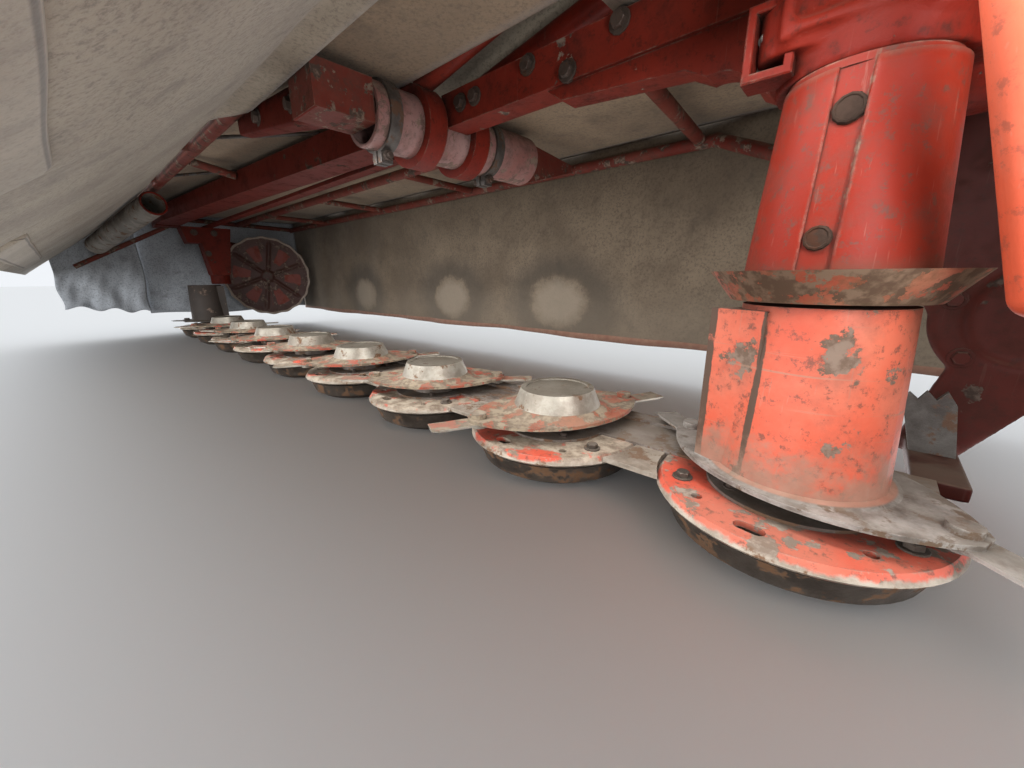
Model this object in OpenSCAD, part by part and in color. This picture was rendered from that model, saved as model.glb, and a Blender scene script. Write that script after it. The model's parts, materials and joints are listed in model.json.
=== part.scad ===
// Rear-mounted disc mower with a canvas canopy, lowered on its skids for parking.
// X runs outward along the cutter bar, Y forward in the driving direction, Z up.
// The origin is on the ground, under the axis of the inner drum.

/* [Cutter bar] */
// Distance from one rotor axis to the next
rotor_pitch = 385; // [383:1:400]
// Thickness of the sole that slides on the ground
sole_thick = 6; // [4:0.5:9]
// Height of the spacer between a sole and the bar
spacer_height = 32; // [26:1:36]
// Height of the closed bar housing
bar_height = 34; // [28:1:40]
// How far the bar reaches behind the rotor line
bar_back = 145; // [135:1:160]
// Radius of the bar's bulge round each bearing
bulge_r = 100; // [94:1:106]
// Height of a bearing boss above the bar
bearing_height = 12; // [10:1:16]
// Radius of a bearing boss
bearing_r = 62; // [54:1:70]
// Front radius of a guard plate
guard_r = 168; // [160:1:174]
// Thickness of a guard plate
guard_thick = 8; // [6:0.5:10]
// Half length of the hole in a guard plate
guard_slot = 17; // [13:1:20]
// Front edge of the lip between two guard plates
lip_y = 80; // [70:1:88]

/* [Rotors] */
// Height of the neck that carries a disc
neck_height = 11; // [9:1:15]
// Radius of the neck
neck_r = 40; // [30:1:48]
// Half length of an oval disc
disc_half_length = 185; // [178:1:190]
// Half width of an oval disc
disc_half_width = 110; // [106:1:116]
// Plate thickness of a disc
disc_thick = 6; // [4:0.5:8]
// Height of the shallow cone pressed into a disc
crown_height = 9; // [6:1:12]
// Base radius of the dome over a hub
dome_base_r = 83; // [76:1:86]
// Top radius of the dome
dome_top_r = 70; // [62:1:74]
// Height of the dome
dome_height = 41; // [37:1:48]
// Radius swept by the blade tips
blade_reach = 250; // [242:1:254]
// Width of a blade
blade_width = 40; // [36:1:46]
// Thickness of a blade
blade_thick = 4; // [3:0.5:6]
// Radius of a drum at its foot
drum_base_r = 96; // [93:1:99]
// Radius of a drum at its top
drum_top_r = 84; // [80:1:88]
// Height of a drum above its disc
drum_height = 212; // [196:1:224]
// Sheet thickness of drum and housing
drum_wall = 5; // [4:0.5:8]
// Outer radius of a drum's two paddles
paddle_r = 120; // [112:1:124]

/* [Drum housing] */
// Running gap between a drum and what stands over it
running_gap = 5; // [5:0.5:8]
// Height of the flared collar
collar_height = 34; // [28:1:42]
// Top radius of the collar
collar_top_r = 126; // [120:1:132]
// Sheet thickness of the collar
collar_thick = 3; // [2.5:0.5:4]
// Foot radius of the housing
housing_base_r = 88; // [85:1:90]
// Top radius of the housing
housing_top_r = 69; // [64:1:74]
// Height of the housing
housing_height = 222; // [216:1:230]
// Thickness of the bolted cover panel
cover_thick = 4; // [3:0.5:5]

/* [Frame] */
// Height of the pendulum tube's axis above the ground
pivot_z = 680; // [676:1:682]
// Distance of the pendulum tube from the inner drum
pivot_x = 817; // [805:1:830]
// Radius of the pendulum tube
pivot_r = 64; // [58:1:65]
// Wall of the pendulum tube
pivot_wall = 8; // [6:1:12]
// Width of the inner beam
beam_width = 64; // [56:1:64]
// Height of the inner beam
beam_height = 68; // [60:1:70]
// Wall of the beams
beam_wall = 5; // [4:0.5:8]
// Radius of a canopy tube
rail_r = 17; // [14:1:19]

/* [Canopy] */
// Underside of the roof canvas above the ground
roof_z = 752; // [750:1:756]
// Canvas thickness
canvas = 5; // [4:0.5:6]
// Inner end of the canopy
canopy_in = -310; // [-330:1:-300]
// How far the canopy reaches past the axis of the outer drum
canopy_overhang = 330; // [322:1:360]
// Front hinge line of the canopy
canopy_front = 245; // [240:1:250]
// Rear edge of the canopy
canopy_back = -700; // [-720:1:-690]
// Bottom of the rear curtain above the ground
curtain_z = 115; // [100:1:140]
// Length of the front flap down its slope
flap_length = 560; // [530:1:575]
// Slope of the front flap below the horizontal, in degrees
flap_slope = 38; // [35:1:39]
// Height of the raised hood's mouth above the roof
hood_rise = 185; // [182:1:210]

/* [Carrying arm] */
// Radius of each arm tube
arm_r = 24; // [20:1:26]
// Distance between the two arm tubes
arm_gauge = 134; // [132:1:138]
// Height of the lift hinge above the ground
lift_z = 1027; // [1015:1:1040]
// Lift hinge from the inner drum, towards the tractor
lift_x = -750; // [-770:1:-740]
// Radius of the lift hinge pin
lift_pin_r = 20; // [16:1:24]

/* [Headstock] */
// Middle of the hitch from the inner drum
hitch_x = -1250; // [-1270:1:-1240]
// Hitch line ahead of the rotors
hitch_y = 800; // [790:1:820]
// Height of the lower hitch pins
hitch_z = 500; // [490:1:520]
// Distance between the middles of the lower pins
hitch_span = 825; // [820:1:835]
// Radius of a lower hitch pin
hitch_pin_r = 14; // [11:0.5:18]
// Height of the top link pin above the lower pins
mast_height = 610; // [590:1:650]
// Radius of the top link pin
top_pin_r = 12.5; // [9.5:0.5:16]
// Gap between the top link ears
top_gap = 52; // [50:1:60]
// Thickness of the headstock plates
plate = 14; // [12:1:18]
// Radius of the power shaft stub
shaft_r = 17.5; // [17:0.5:22]

/* [Lift cylinder] */
// Outer radius of the barrel
barrel_r = 38; // [34:1:40]
// Length of the barrel from its eye
barrel_length = 551; // [545:1:553]
// Radius of the rod
rod_r = 17.5; // [15:0.5:20]

/* [Swath disc] */
// Radius of the swath disc
swath_r = 272; // [255:1:274]
// Height of its axle above the ground
swath_z = 365; // [355:1:380]
// Turn of the disc away from the driving line, in degrees
swath_turn = 20; // [16:1:24]

/* [Hidden] */
$fn = 48;

red = "firebrick";
steel = "lightgray";
dark = "dimgray";
cloth = "tan";

// A seat leaves this much between two curved faces
seat = 0.3;
e = 0.2;

// Heights of the bar and of what turns on it
bar_z = sole_thick + spacer_height;
bar_top = bar_z + bar_height;
bearing_top = bar_top + bearing_height;
disc_z = bearing_top + neck_height;
disc_top = disc_z + disc_thick;
drum_top = disc_top + drum_height;
guard_top = bar_top - 4;
last = 8;
bar_nose = 150;
bar_out = last * rotor_pitch + bar_nose;
canopy_out = last * rotor_pitch + canopy_overhang;
blade_pin = 160;

// Rest angle of each rotor, so that no blade meets its neighbour
function turn_of(k) = k == 0 ? 158 : k % 2 == 1 ? 64 : 40;

// Foot of the inner carrier, against the back of the bar
foot_z = bar_z + 8;
foot_height = 24;

// Housing and gearbox
collar_z = drum_top + running_gap;
housing_z = collar_z + 4;
housing_top = housing_z + housing_height;
gear_top = roof_z - 22;
cover_low = housing_r(9) + seat;
cover_high = housing_r(housing_height - 6) + seat;
collar_ring_r = drum_base_r + (collar_top_r - collar_thick - drum_base_r) * 10 / collar_height + 1;

// Frame
beam_y = -125;
beam_z = 677;
beam_top = beam_z + beam_height;
arm_y = beam_y + beam_width / 2;
straps_y = [70, -240];
tube_front = 110;
tube_back = -400;
outer_z = 652;
outer_height = 73;
pillar_x = last * rotor_pitch + 40;
rail_z = roof_z - rail_r - 1;

// Front flap hinge, ahead of the front rail
hinge_r = 8;
hinge_y = canopy_front + rail_r + 17;
hinge_z = rail_z + 2;
lug_step = 600;

// Raised hood over the arm's outer end
hood_in = 340;
hood_out = 1000;
hood_front = arm_y + arm_gauge / 2 + arm_r + 14;
hood_back = arm_y - arm_gauge / 2 - arm_r - 14;

// Arm
ring_r = pivot_r + 20;

// Open pipe near the outer end
pipe_in = [2290, 268, 660];
pipe_out = [3174, 424, 534];
pipe_r = 46;
arm_start = [pivot_x - 27, pivot_z + 85];
lift_half = 118;

// Lift cylinder: its eye on the headstock and its eye on the arm
barrel_eye = [-1150, 1330];
rod_eye = [-150, 965];
eye_run = rod_eye - barrel_eye;
eye_length = norm(eye_run);
eye_drop = -atan2(eye_run[1], eye_run[0]);
eye_r = 30;
eye_width = 30;
rod_length = 582;

stand_x = hitch_x + 322;
stand_y = hitch_y - 120 - 32;

// Swath disc
swath_x = last * rotor_pitch + 107;
swath_y = -400;

module at_rotors(from = 0, to = last) {
    for (k = [from : to]) translate([k * rotor_pitch, 0, 0]) children();
}

// A round bar from one point to another
module rod(a, b, r) {
    v = b - a;
    translate(a) rotate([0, acos(v[2] / norm(v)), atan2(v[1], v[0])]) cylinder(h = norm(v), r = r);
}

// A plate that stands across the driving line: its outline is drawn in X and Z
module cross_plate(y, thick) {
    translate([0, y + thick, 0]) rotate([90, 0, 0]) linear_extrude(height = thick) children();
}

// A plate that stands along the driving line: its outline is drawn in Y and Z
module side_plate(x, thick) {
    translate([x, 0, 0]) rotate([90, 0, 90]) linear_extrude(height = thick) children();
}

module rounded_rect(w, d, r) {
    translate([r, 0]) square([w - 2 * r, d]);
    translate([0, r]) square([w, d - 2 * r]);
    for (x = [r, w - r], y = [r, d - r]) translate([x, y]) circle(r = r);
}

// The closed gear housing with a bulge round each bearing
module cutter_bar() color(dark) {
    difference() {
        translate([0, 0, bar_z]) linear_extrude(height = bar_height) union() {
            translate([-bar_nose, -bar_back]) square([bar_out + bar_nose, bar_back - seat]);
            at_rotors() circle(r = bulge_r);
        }
        for (x = [-bar_nose - 1, bar_out - 40]) translate([x, -bar_back - 1, bar_z - 1])
            cube([41, bar_back - 60, 9]);
    }
    at_rotors() translate([0, 0, bar_top - e]) cylinder(h = bearing_height + e, r = bearing_r);
    translate([-bar_nose + 30, -bar_back + 14, bar_top - e]) cube([bar_out + bar_nose - 60, 34, 6 + e]);
}

// Nine soles that carry the mower on the ground
module skid_soles() color(dark) at_rotors() {
    linear_extrude(height = sole_thick) {
        intersection() {
            circle(r = 120);
            translate([-120, 0]) square([240, 120]);
        }
        translate([-90, -bar_back]) square([180, bar_back + 1]);
    }
    rotate_extrude(angle = 180) polygon([[118, 0], [121, 0], [144, 14], [guard_r - 12, guard_top - 22],
        [guard_r - 18, guard_top - 21], [139, 20], [118, sole_thick]]);
    translate([-55, -bar_back + 15, sole_thick - e]) cube([110, bar_back + 55, spacer_height + e]);
}

// Rounded guard plates ahead of the bar, each with an oval hole and bolt holes, and a lip between two plates
module guard_plates() color(red) {
    at_rotors() difference() {
        rotate_extrude(angle = 180) polygon([[bulge_r + seat, guard_top - guard_thick], [guard_r - 12, guard_top - guard_thick],
            [guard_r - 2, guard_top - guard_thick - 6], [guard_r, guard_top - guard_thick - 3],
            [guard_r - 7, guard_top], [bulge_r + seat, guard_top]]);
        rotate(82) translate([guard_r - 32, 0, guard_top - 30]) {
            for (s = [-1, 1]) translate([0, s * (guard_slot - 9), 0]) cylinder(h = 40, r = 9);
            translate([-9, -guard_slot + 9, 0]) cube([18, 2 * guard_slot - 18, 40]);
        }
        for (a = [28, 50, 130, 152]) rotate(a) translate([(bulge_r + guard_r) / 2, 0, guard_top - 20]) cylinder(h = 40, r = 7);
    }
    at_rotors(to = last - 1) translate([0, 0, guard_top - guard_thick]) linear_extrude(height = guard_thick) difference() {
        translate([140, 0]) square([rotor_pitch - 280, lip_y]);
        for (x = [0, rotor_pitch]) translate([x, 0]) circle(r = guard_r + seat);
    }
}

// Oval disc plate with pointed ends: two large arcs and a round middle
module disc_outline() {
    arc_r = (pow(disc_half_length, 2) + pow(disc_half_width, 2)) / (2 * disc_half_width);
    intersection() {
        translate([0, arc_r - disc_half_width]) circle(r = arc_r, $fn = 96);
        translate([0, disc_half_width - arc_r]) circle(r = arc_r, $fn = 96);
        square([2 * disc_half_length - 14, 400], center = true);
    }
}

module blades(swing) {
    for (side = [0, 180]) rotate(side) translate([blade_pin, 0, disc_z - blade_thick]) {
        rotate(swing) translate([-18, -blade_width / 2, 0]) difference() {
            cube([blade_reach - blade_pin + 18, blade_width, blade_thick + e]);
            for (y = [0, blade_width]) translate([blade_reach - blade_pin + 18, y, -1]) rotate(45)
                cube([16, 16, blade_thick + 3], center = true);
        }
        translate([0, 0, -7]) cylinder(h = 7 + e, r = 15);
        translate([0, 0, disc_thick + blade_thick - e]) cylinder(h = 9, r = 14);
    }
}

module rotor_base(swing) {
    translate([0, 0, bearing_top + seat]) cylinder(h = neck_height + e - seat, r = neck_r);
    translate([0, 0, disc_z]) linear_extrude(height = disc_thick) disc_outline();
    translate([0, 0, disc_top - e]) cylinder(h = crown_height + e, r1 = disc_half_width - 2, r2 = dome_base_r);
    blades(swing);
}

// A rotor with a worn steel dome over its hub
module domed_disc(k) color(steel) translate([k * rotor_pitch, 0, 0]) rotate(turn_of(k)) {
    rotor_base(0);
    difference() {
        translate([0, 0, disc_top + crown_height - 2 * e])
            cylinder(h = dome_height - crown_height, r1 = dome_base_r, r2 = dome_top_r);
        translate([0, 0, disc_top + dome_height - 2 - 3 * e]) cylinder(h = 10, r = dome_top_r - 10);
    }
}

function on_circle(r, a) = [r * cos(a), r * sin(a)];

// A hollow drum with two flat paddles, which lifts the crop at the end of the bar
module drum(k, swing, tint) color(tint) translate([k * rotor_pitch, 0, 0]) rotate(turn_of(k)) {
    root_r = drum_top_r + 4;
    rotor_base(swing);
    difference() {
        union() {
            translate([0, 0, disc_top]) cylinder(h = drum_height, r1 = drum_base_r, r2 = drum_top_r);
            for (side = [0, 200]) rotate(side - turn_of(k)) translate([0, 0, disc_top])
                linear_extrude(height = drum_height - 6) polygon([on_circle(root_r - 8, 60), on_circle(root_r, 60),
                    on_circle(paddle_r, 22), on_circle(root_r, 12), on_circle(root_r - 8, 12)]);
        }
        translate([0, 0, disc_top + 4 + crown_height])
            cylinder(h = drum_height - 12 - crown_height, r1 = drum_base_r - drum_wall, r2 = drum_top_r - drum_wall);
    }
}

module inner_drum() drum(0, -20, red);
module outer_drum() drum(last, 0, dark);
module disc_1() domed_disc(1);
module disc_2() domed_disc(2);
module disc_3() domed_disc(3);
module disc_4() domed_disc(4);
module disc_5() domed_disc(5);
module disc_6() domed_disc(6);
module disc_7() domed_disc(7);

function housing_r(h) = housing_base_r - (housing_base_r - housing_top_r) * h / housing_height;

// Tapered sheet housing over the inner drum, with a sunk strip for the plugs
module drum_housing() color(red) difference() {
    translate([0, 0, housing_z]) cylinder(h = housing_height, r1 = housing_base_r, r2 = housing_top_r);
    translate([0, 0, housing_z + drum_wall])
        cylinder(h = housing_height - 2 * drum_wall, r1 = housing_base_r - drum_wall, r2 = housing_top_r - drum_wall);
    rotate_extrude(angle = 360) translate([0, housing_z - 1]) square([24, 12]);
    translate([0, 0, housing_z + 10]) rotate([atan((housing_base_r - housing_top_r) / housing_height), 0, -7])
        translate([-17, housing_base_r - 3, 0]) cube([34, 20, housing_height - 24]);
}

// Bolted cover panel on the inner side of the housing, with a rounded upper corner
module housing_cover() color(red) intersection() {
    rotate(88) rotate_extrude(angle = 118) polygon([[cover_low, housing_z + 9], [cover_low + cover_thick, housing_z + 9],
        [cover_high + cover_thick, housing_top - 6], [cover_high, housing_top - 6]]);
    union() {
        translate([-150, -150, housing_z]) cube([300, 300, housing_height - 60]);
        translate([-150, -20, housing_z]) cube([300, 170, housing_height]);
    }
}

// Flared collar that keeps crop off the drum's top
module drum_collar() color(red) {
    rotate_extrude() polygon([[drum_base_r, collar_z], [drum_base_r + collar_thick, collar_z],
        [collar_top_r, collar_z + collar_height], [collar_top_r - collar_thick, collar_z + collar_height]]);
    rotate_extrude() translate([housing_base_r + seat, collar_z + 8]) square([collar_ring_r - housing_base_r - seat, 4]);
}

// Bevel gearbox casting over the inner drum
module gearbox() color(red) {
    translate([0, -20, housing_top]) cylinder(h = 50, r = 86);
    translate([-70, -130, housing_top + 24]) linear_extrude(height = gear_top - housing_top - 24) rounded_rect(170, 190, 34);
    translate([10, -25, gear_top - e]) cylinder(h = 14, r = 46);
    translate([-90, -100, housing_top + 46]) sphere(r = 74);
    translate([-50, -70, 625]) rotate([0, -90, 0]) cylinder(h = 170, r = 58);
    translate([-50, -70, 625]) rotate([0, -90, 0]) cylinder(h = 184, r = 40);
    translate([-50, -70, 625]) rotate([0, -90, 0]) cylinder(h = 236, r = shaft_r);
}

// Cast plate that ties the gearbox to the inner end of the bar
module inner_carrier() color(red) difference() {
    union() {
        cross_plate(-362, 26) {
            translate([-230, 282]) circle(r = 115);
            polygon([[-345, 282], [-115, 282], [20, 500], [74, 560], [74, 636], [-120, 640], [-250, 470]]);
                polygon([[-300, 220], [-160, 220], [-110, foot_z - 2], [-190, foot_z - 2]]);
        }
        cross_plate(-372, 10 + e) translate([-230, 282]) circle(r = 60);
        translate([-12, -337 - e, 570]) cube([84, 207 + e, 64]);
        translate([-185, -337 - e, foot_z]) cube([60, 337 - bar_back + e, foot_height]);
    }
    cross_plate(-345, 20) translate([-230, 282]) circle(r = 74);
}

// Upright fin that parts the cut crop behind the inner drum
module divider_fin() color(dark) cross_plate(-272, 10)
    polygon([[-180, foot_z + foot_height + e], [-127, foot_z + foot_height + e], [-106, 150], [-112, 165], [-123, 155],
        [-131, 170], [-143, 157], [-153, 172], [-166, 152]]);

// Round bar at the inner front corner, with a bracket to the gearbox
module guard_post() color("orangered") {
    rod([-139, 110, 332], [-44, 170, 655], 19);
    translate([-139, 110, 332]) sphere(r = 19);
    translate([-62, 60, 632]) cube([40, 112, 12]);
}

// Hollow inner beam between the gearbox and the pendulum tube, with a gusset
module inner_beam() color(red) difference() {
    union() {
        translate([100 + e, beam_y, beam_z]) cube([pivot_x - 100 - pivot_r + 12, beam_width, beam_height]);
        cross_plate(beam_y + 8, beam_width - 16) difference() {
            polygon([[100 + e, housing_top + 30], [100 + e, beam_z + e], [470, beam_z + e], [440, beam_z - 22], [220, beam_z - 40]]);
            translate([175, beam_z - 118]) circle(r = 62);
        }
    }
    translate([104, beam_y + beam_wall, beam_z + beam_wall])
        cube([pivot_x - 204, beam_width - 2 * beam_wall, beam_height - 2 * beam_wall]);
    rod([pivot_x, 200, pivot_z], [pivot_x, -500, pivot_z], pivot_r + seat);
}

// Pendulum tube on which the whole cutting unit swings sideways
module pendulum_tube() color("rosybrown") difference() {
    rod([pivot_x, tube_front, pivot_z], [pivot_x, tube_back, pivot_z], pivot_r);
    rod([pivot_x, tube_front + 1, pivot_z], [pivot_x, tube_back - 1, pivot_z], pivot_r - pivot_wall);
}

// Two strap clamps round the tube
module tube_straps() color(dark) for (y = straps_y) difference() {
    union() {
        rod([pivot_x, y + 14, pivot_z], [pivot_x, y - 14, pivot_z], pivot_r + 6);
        translate([pivot_x - 17, y - 14, pivot_z - pivot_r - 26]) cube([34, 28, 30]);
    }
    rod([pivot_x, y + 20, pivot_z], [pivot_x, y - 20, pivot_z], pivot_r + seat);
    translate([pivot_x - 3, y - 20, pivot_z - pivot_r - 40]) cube([6, 40, 60]);
}

// Outer beam from the pendulum tube to the outer pillar
module outer_beam() color(red) difference() {
    translate([0, 0, outer_z]) linear_extrude(height = outer_height)
        polygon([[pivot_x + 40, 5], [pivot_x + 40, 34], [2870, 170], [pillar_x + 60, 170], [pillar_x + 60, 60],
            [2850, 60], [pivot_x + ring_r + 60, -50], [pivot_x + ring_r + 8, -50], [pivot_x + ring_r + 8, 5]]);
    rod([pivot_x, 200, pivot_z], [pivot_x, -500, pivot_z], pivot_r + seat);
}

// Flat bar behind the outer beam, with a foot against the pendulum tube
module beam_flat() color(red) difference() {
    translate([pivot_x + 50, -98, outer_z]) cube([pillar_x - pivot_x + 10, 36, 12]);
    rod([pivot_x, 200, pivot_z], [pivot_x, -500, pivot_z], pivot_r + seat);
}

// Tapered sheet pillar over the outer drum
module outer_pillar() color(red) {
    side_plate(pillar_x - 60, 110) polygon([[-190, outer_z - 4], [60, outer_z - 4], [40, 560], [-30, 560], [-52, 372], [-146, 372]]);
    translate([pillar_x - 5, -100, drum_top + running_gap]) cylinder(h = 374 - drum_top - running_gap, r = 52);
    translate([pillar_x - 60, -190, outer_z - 4 - e]) cube([110, 360, 4 + e]);
}

module front_rail() color(red) {
    rod([canopy_in, canopy_front, rail_z], [canopy_out, canopy_front, rail_z], rail_r);
    translate([pivot_x - 50, tube_front, pivot_z - 30]) cube([100, canopy_front - tube_front - rail_r + 4, 80]);
    for (x = [canopy_in + 80 : lug_step : canopy_out]) difference() {
        side_plate(x, 10) {
            translate([hinge_y, hinge_z]) circle(r = 13);
            translate([canopy_front + 10, hinge_z - 13]) square([hinge_y - canopy_front - 10, 26]);
        }
        rod([x - 5, hinge_y, hinge_z], [x + 15, hinge_y, hinge_z], hinge_r + seat);
    }
}

module middle_rail() color(red) rod([pivot_x + 80, -320, rail_z - 20], [canopy_out - 36, -320, rail_z - 20], rail_r);

module rear_rail() color(red) {
    rod([350, canopy_back + 20, rail_z - 30], [canopy_out, canopy_back + 20, rail_z - 30], rail_r);
    rod([350, canopy_back + 20, rail_z - 30], [120, -560, 590], rail_r);
    rod([120, -560, 590], [-66, -378, 600], rail_r);
    translate([-96, -374, 576]) cube([60, 12 - seat, 48]);
    for (p = [[350, canopy_back + 20, rail_z - 30], [120, -560, 590]]) translate(p) sphere(r = rail_r + 0.8);
    translate([pivot_x - 6, 0, 0]) side_plate(0, 12) polygon([[tube_back - seat, pivot_z + 60], [tube_back - seat, pivot_z - 60],
        [canopy_back + 30, rail_z - 40], [canopy_back + 30, rail_z - 20]]);
}

// Short struts between the rails, and the slanting one near the gearbox
module roof_struts() color(red) {
    for (x = [1330, 2060, 2790]) rod([x, -320 - rail_r - seat, rail_z - 20], [x, canopy_back + 20 + rail_r + seat, rail_z - 29], 13);
    rod([350, beam_y - 1.6, beam_z + 40], [390, canopy_back + 20 + rail_r + 2, rail_z - 26], 16);
    rod([1750, canopy_front - rail_r - seat, rail_z - 2], [1750, 99, rail_z - 26], 13);
}

// Bent tubes at both ends that carry the end curtains
module end_frames() color(red) {
    for (x = [canopy_in + 20, canopy_out - 20])
        rod([x, canopy_front - rail_r - seat, rail_z - 2], [x, canopy_back + 20 + rail_r + seat, rail_z - 29], 14);
    rod([pillar_x + 80, -30, 728], [pillar_x + 80, 530, 420], 12);
    translate([pillar_x + 60, 90, outer_z + 10]) cube([canopy_out - pillar_x - 66, 50, 40]);
    translate([canopy_in + 30, -90, 690]) cube([-canopy_in - 100, 40, 30]);
}

// Open pipe under the front edge of the roof, held by a hanger
module flap_pipe() color("gray") difference() {
    union() {
        rod(pipe_in, pipe_out, pipe_r);
        translate([2440, canopy_front - 5, 656]) cube([8, 22, rail_z - rail_r - seat - 656]);
    }
    rod(pipe_in - [91, 16, -12.8], pipe_out + [91, 16, -12.8], pipe_r - 4);
}

// Roof canvas with an opening under the raised hood
module roof_canvas() color(cloth) difference() {
    translate([canopy_in, canopy_back, roof_z]) cube([canopy_out - canopy_in, canopy_front + rail_r - canopy_back, canvas]);
    translate([hood_in, hood_back, roof_z - 1]) cube([hood_out - hood_in, hood_front - hood_back, canvas + 2]);
}

// Raised hood over the arm, open towards the tractor
module roof_hood() color(cloth) {
    rise = roof_z + canvas + hood_rise;
    for (y = [hood_back - canvas, hood_front]) cross_plate(y, canvas)
        polygon([[hood_in, roof_z + canvas], [hood_out, roof_z + canvas], [hood_out, roof_z + canvas + 30], [hood_in, rise]]);
    cross_plate(hood_back - canvas, hood_front - hood_back + 2 * canvas)
        polygon([[hood_in, rise], [hood_out, roof_z + canvas + 30], [hood_out, roof_z + 2 * canvas + 30], [hood_in, rise + canvas]]);
    cross_plate(hood_back, hood_front - hood_back)
        translate([hood_out - canvas, roof_z + canvas]) square([canvas, 31]);
}

module rear_curtain() color(cloth)
    translate([canopy_in, canopy_back - canvas, curtain_z]) cube([canopy_out - canopy_in, canvas, roof_z + canvas - curtain_z]);

module outer_curtain() color(cloth)
    translate([canopy_out, canopy_back - canvas, curtain_z + 15])
        cube([canvas, canopy_front - canopy_back + canvas, roof_z + canvas - curtain_z - 15]);

module inner_curtain() color(cloth) side_plate(canopy_in - canvas, canvas)
    polygon([[-470, roof_z + canvas], [-250, curtain_z + 5], [220, curtain_z + 45], [canopy_front, roof_z + canvas]]);

// Front flap: a tube frame and its canvas, hinged along the front rail
module on_flap() {
    translate([0, hinge_y, hinge_z]) rotate([-flap_slope, 0, 0]) children();
}

module flap_frame() color(red) on_flap() {
    for (x = [canopy_in + 14, (canopy_in + canopy_out) / 2, canopy_out - 14]) rod([x, 4, 0], [x, flap_length, 0], hinge_r - 1);
    rod([canopy_in, 0, 0], [canopy_out, 0, 0], hinge_r);
}

module flap_canvas() color(cloth) on_flap()
    translate([canopy_in, 16, 1 - hinge_r - seat - canvas]) cube([canopy_out - canopy_in, flap_length - 12, canvas]);

// Arm from the outer end of the frame to the axle of the swath disc
module swath_arm() color(red) {
    bend = [swath_x + 150, -90, 610];
    knee = [swath_x + 142, swath_y, 540];
    rod([pillar_x + 51.2, -84, 606], bend, 19);
    rod(bend, knee, 20);
    hub = [swath_x + 94 * cos(swath_turn), swath_y - 94 * sin(swath_turn), swath_z];
    rod(knee, hub, 18);
    for (p = [bend, knee]) translate(p) sphere(r = 23);
    translate(hub) sphere(r = 31);
    rod(hub, [swath_x + 4 * cos(swath_turn), swath_y - 4 * sin(swath_turn), swath_z], 14);
}

// Ribbed disc that parts the swath behind the outer drum
module swath_disc() color("saddlebrown") translate([swath_x, swath_y, swath_z]) rotate([0, 90, -swath_turn]) {
    difference() {
        union() {
            translate([0, 0, -4]) cylinder(h = 5, r = swath_r - 12, $fn = 96);
            rotate_extrude($fn = 96) polygon([[swath_r - 70, 0], [swath_r - 6, -14], [swath_r, -10], [swath_r - 66, 4 + e]]);
            translate([0, 0, -22]) cylinder(h = 80, r = 34);
        }
        translate([0, 0, -30]) cylinder(h = 120, r = 14.5);
    }
    for (a = [0 : 60 : 300]) rotate(a + 10) translate([36, -5, -16]) cube([swath_r - 66, 10, 13]);
}

// Twin tube arm with a ring round the pendulum tube and a bearing at its hinge
module carrying_arm() color(red) difference() {
    union() {
        for (s = [-1, 1]) {
            y = arm_y + s * arm_gauge / 2;
            rod([arm_start[0], y, arm_start[1]], [lift_x + 10, y, lift_z], arm_r);
            rod([pivot_x, y - arm_r, pivot_z], [pivot_x, y + arm_r, pivot_z], ring_r);
        }
        rod([lift_x, arm_y - lift_half + 6, lift_z], [lift_x, arm_y + lift_half - 6, lift_z], 40);
        for (x = [-480, 20]) translate([x, arm_y - arm_gauge / 2, arm_start[1] + (arm_start[0] - x) * 0.17 - 14])
            cube([70, arm_gauge, 12]);
        translate([rod_eye[0] - 80, arm_y - arm_gauge / 2, rod_eye[1] - 74]) cube([160, arm_gauge, 12]);
        for (s = [-1, 1]) cross_plate(arm_y + s * 27 - 6, 12) {
            translate(rod_eye) circle(r = eye_r + 4);
            polygon([[rod_eye[0] - 34, rod_eye[1]], [rod_eye[0] + 34, rod_eye[1]],
                [rod_eye[0] + 70, rod_eye[1] - 70], [rod_eye[0] - 70, rod_eye[1] - 70]]);
        }
    }
    rod([pivot_x, 100, pivot_z], [pivot_x, -300, pivot_z], pivot_r + seat);
    rod([lift_x, 200, lift_z], [lift_x, -400, lift_z], lift_pin_r + seat);
    for (s = [-1, 1]) rod([rod_eye[0], arm_y + s * 27 - 20, rod_eye[1]], [rod_eye[0], arm_y + s * 27 + 20, rod_eye[1]], 12.5);
    translate([rod_eye[0] - 22, arm_y - 21, rod_eye[1] - 80]) cube([90, 42, 30]);
}

// Along the lift cylinder, from its eye on the headstock
module on_cylinder() {
    translate([barrel_eye[0], arm_y, barrel_eye[1]]) rotate([0, 90 + eye_drop, 0]) children();
}

module cylinder_barrel() color(dark) difference() {
    on_cylinder() {
        rotate([90, 0, 0]) translate([0, 0, -eye_width / 2]) cylinder(h = eye_width, r = eye_r);
        translate([0, 0, 24]) cylinder(h = barrel_length - 24, r = barrel_r);
    }
    on_cylinder() {
        translate([0, 0, 44]) cylinder(h = barrel_length - 84, r = barrel_r - 8);
        translate([0, 0, 60]) cylinder(h = barrel_length, r = rod_r + seat);
        rotate([90, 0, 0]) translate([0, 0, -eye_width]) cylinder(h = 2 * eye_width, r = 12.5);
    }
}

module cylinder_rod() color(steel) on_cylinder() difference() {
    union() {
        translate([0, 0, eye_length - rod_length]) cylinder(h = rod_length - 20, r = rod_r);
        translate([0, 0, eye_length]) rotate([90, 0, 0]) translate([0, 0, -eye_width / 2]) cylinder(h = eye_width, r = eye_r);
    }
    translate([0, 0, eye_length]) rotate([90, 0, 0]) translate([0, 0, -eye_width]) cylinder(h = 2 * eye_width, r = 12.5);
}

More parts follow.
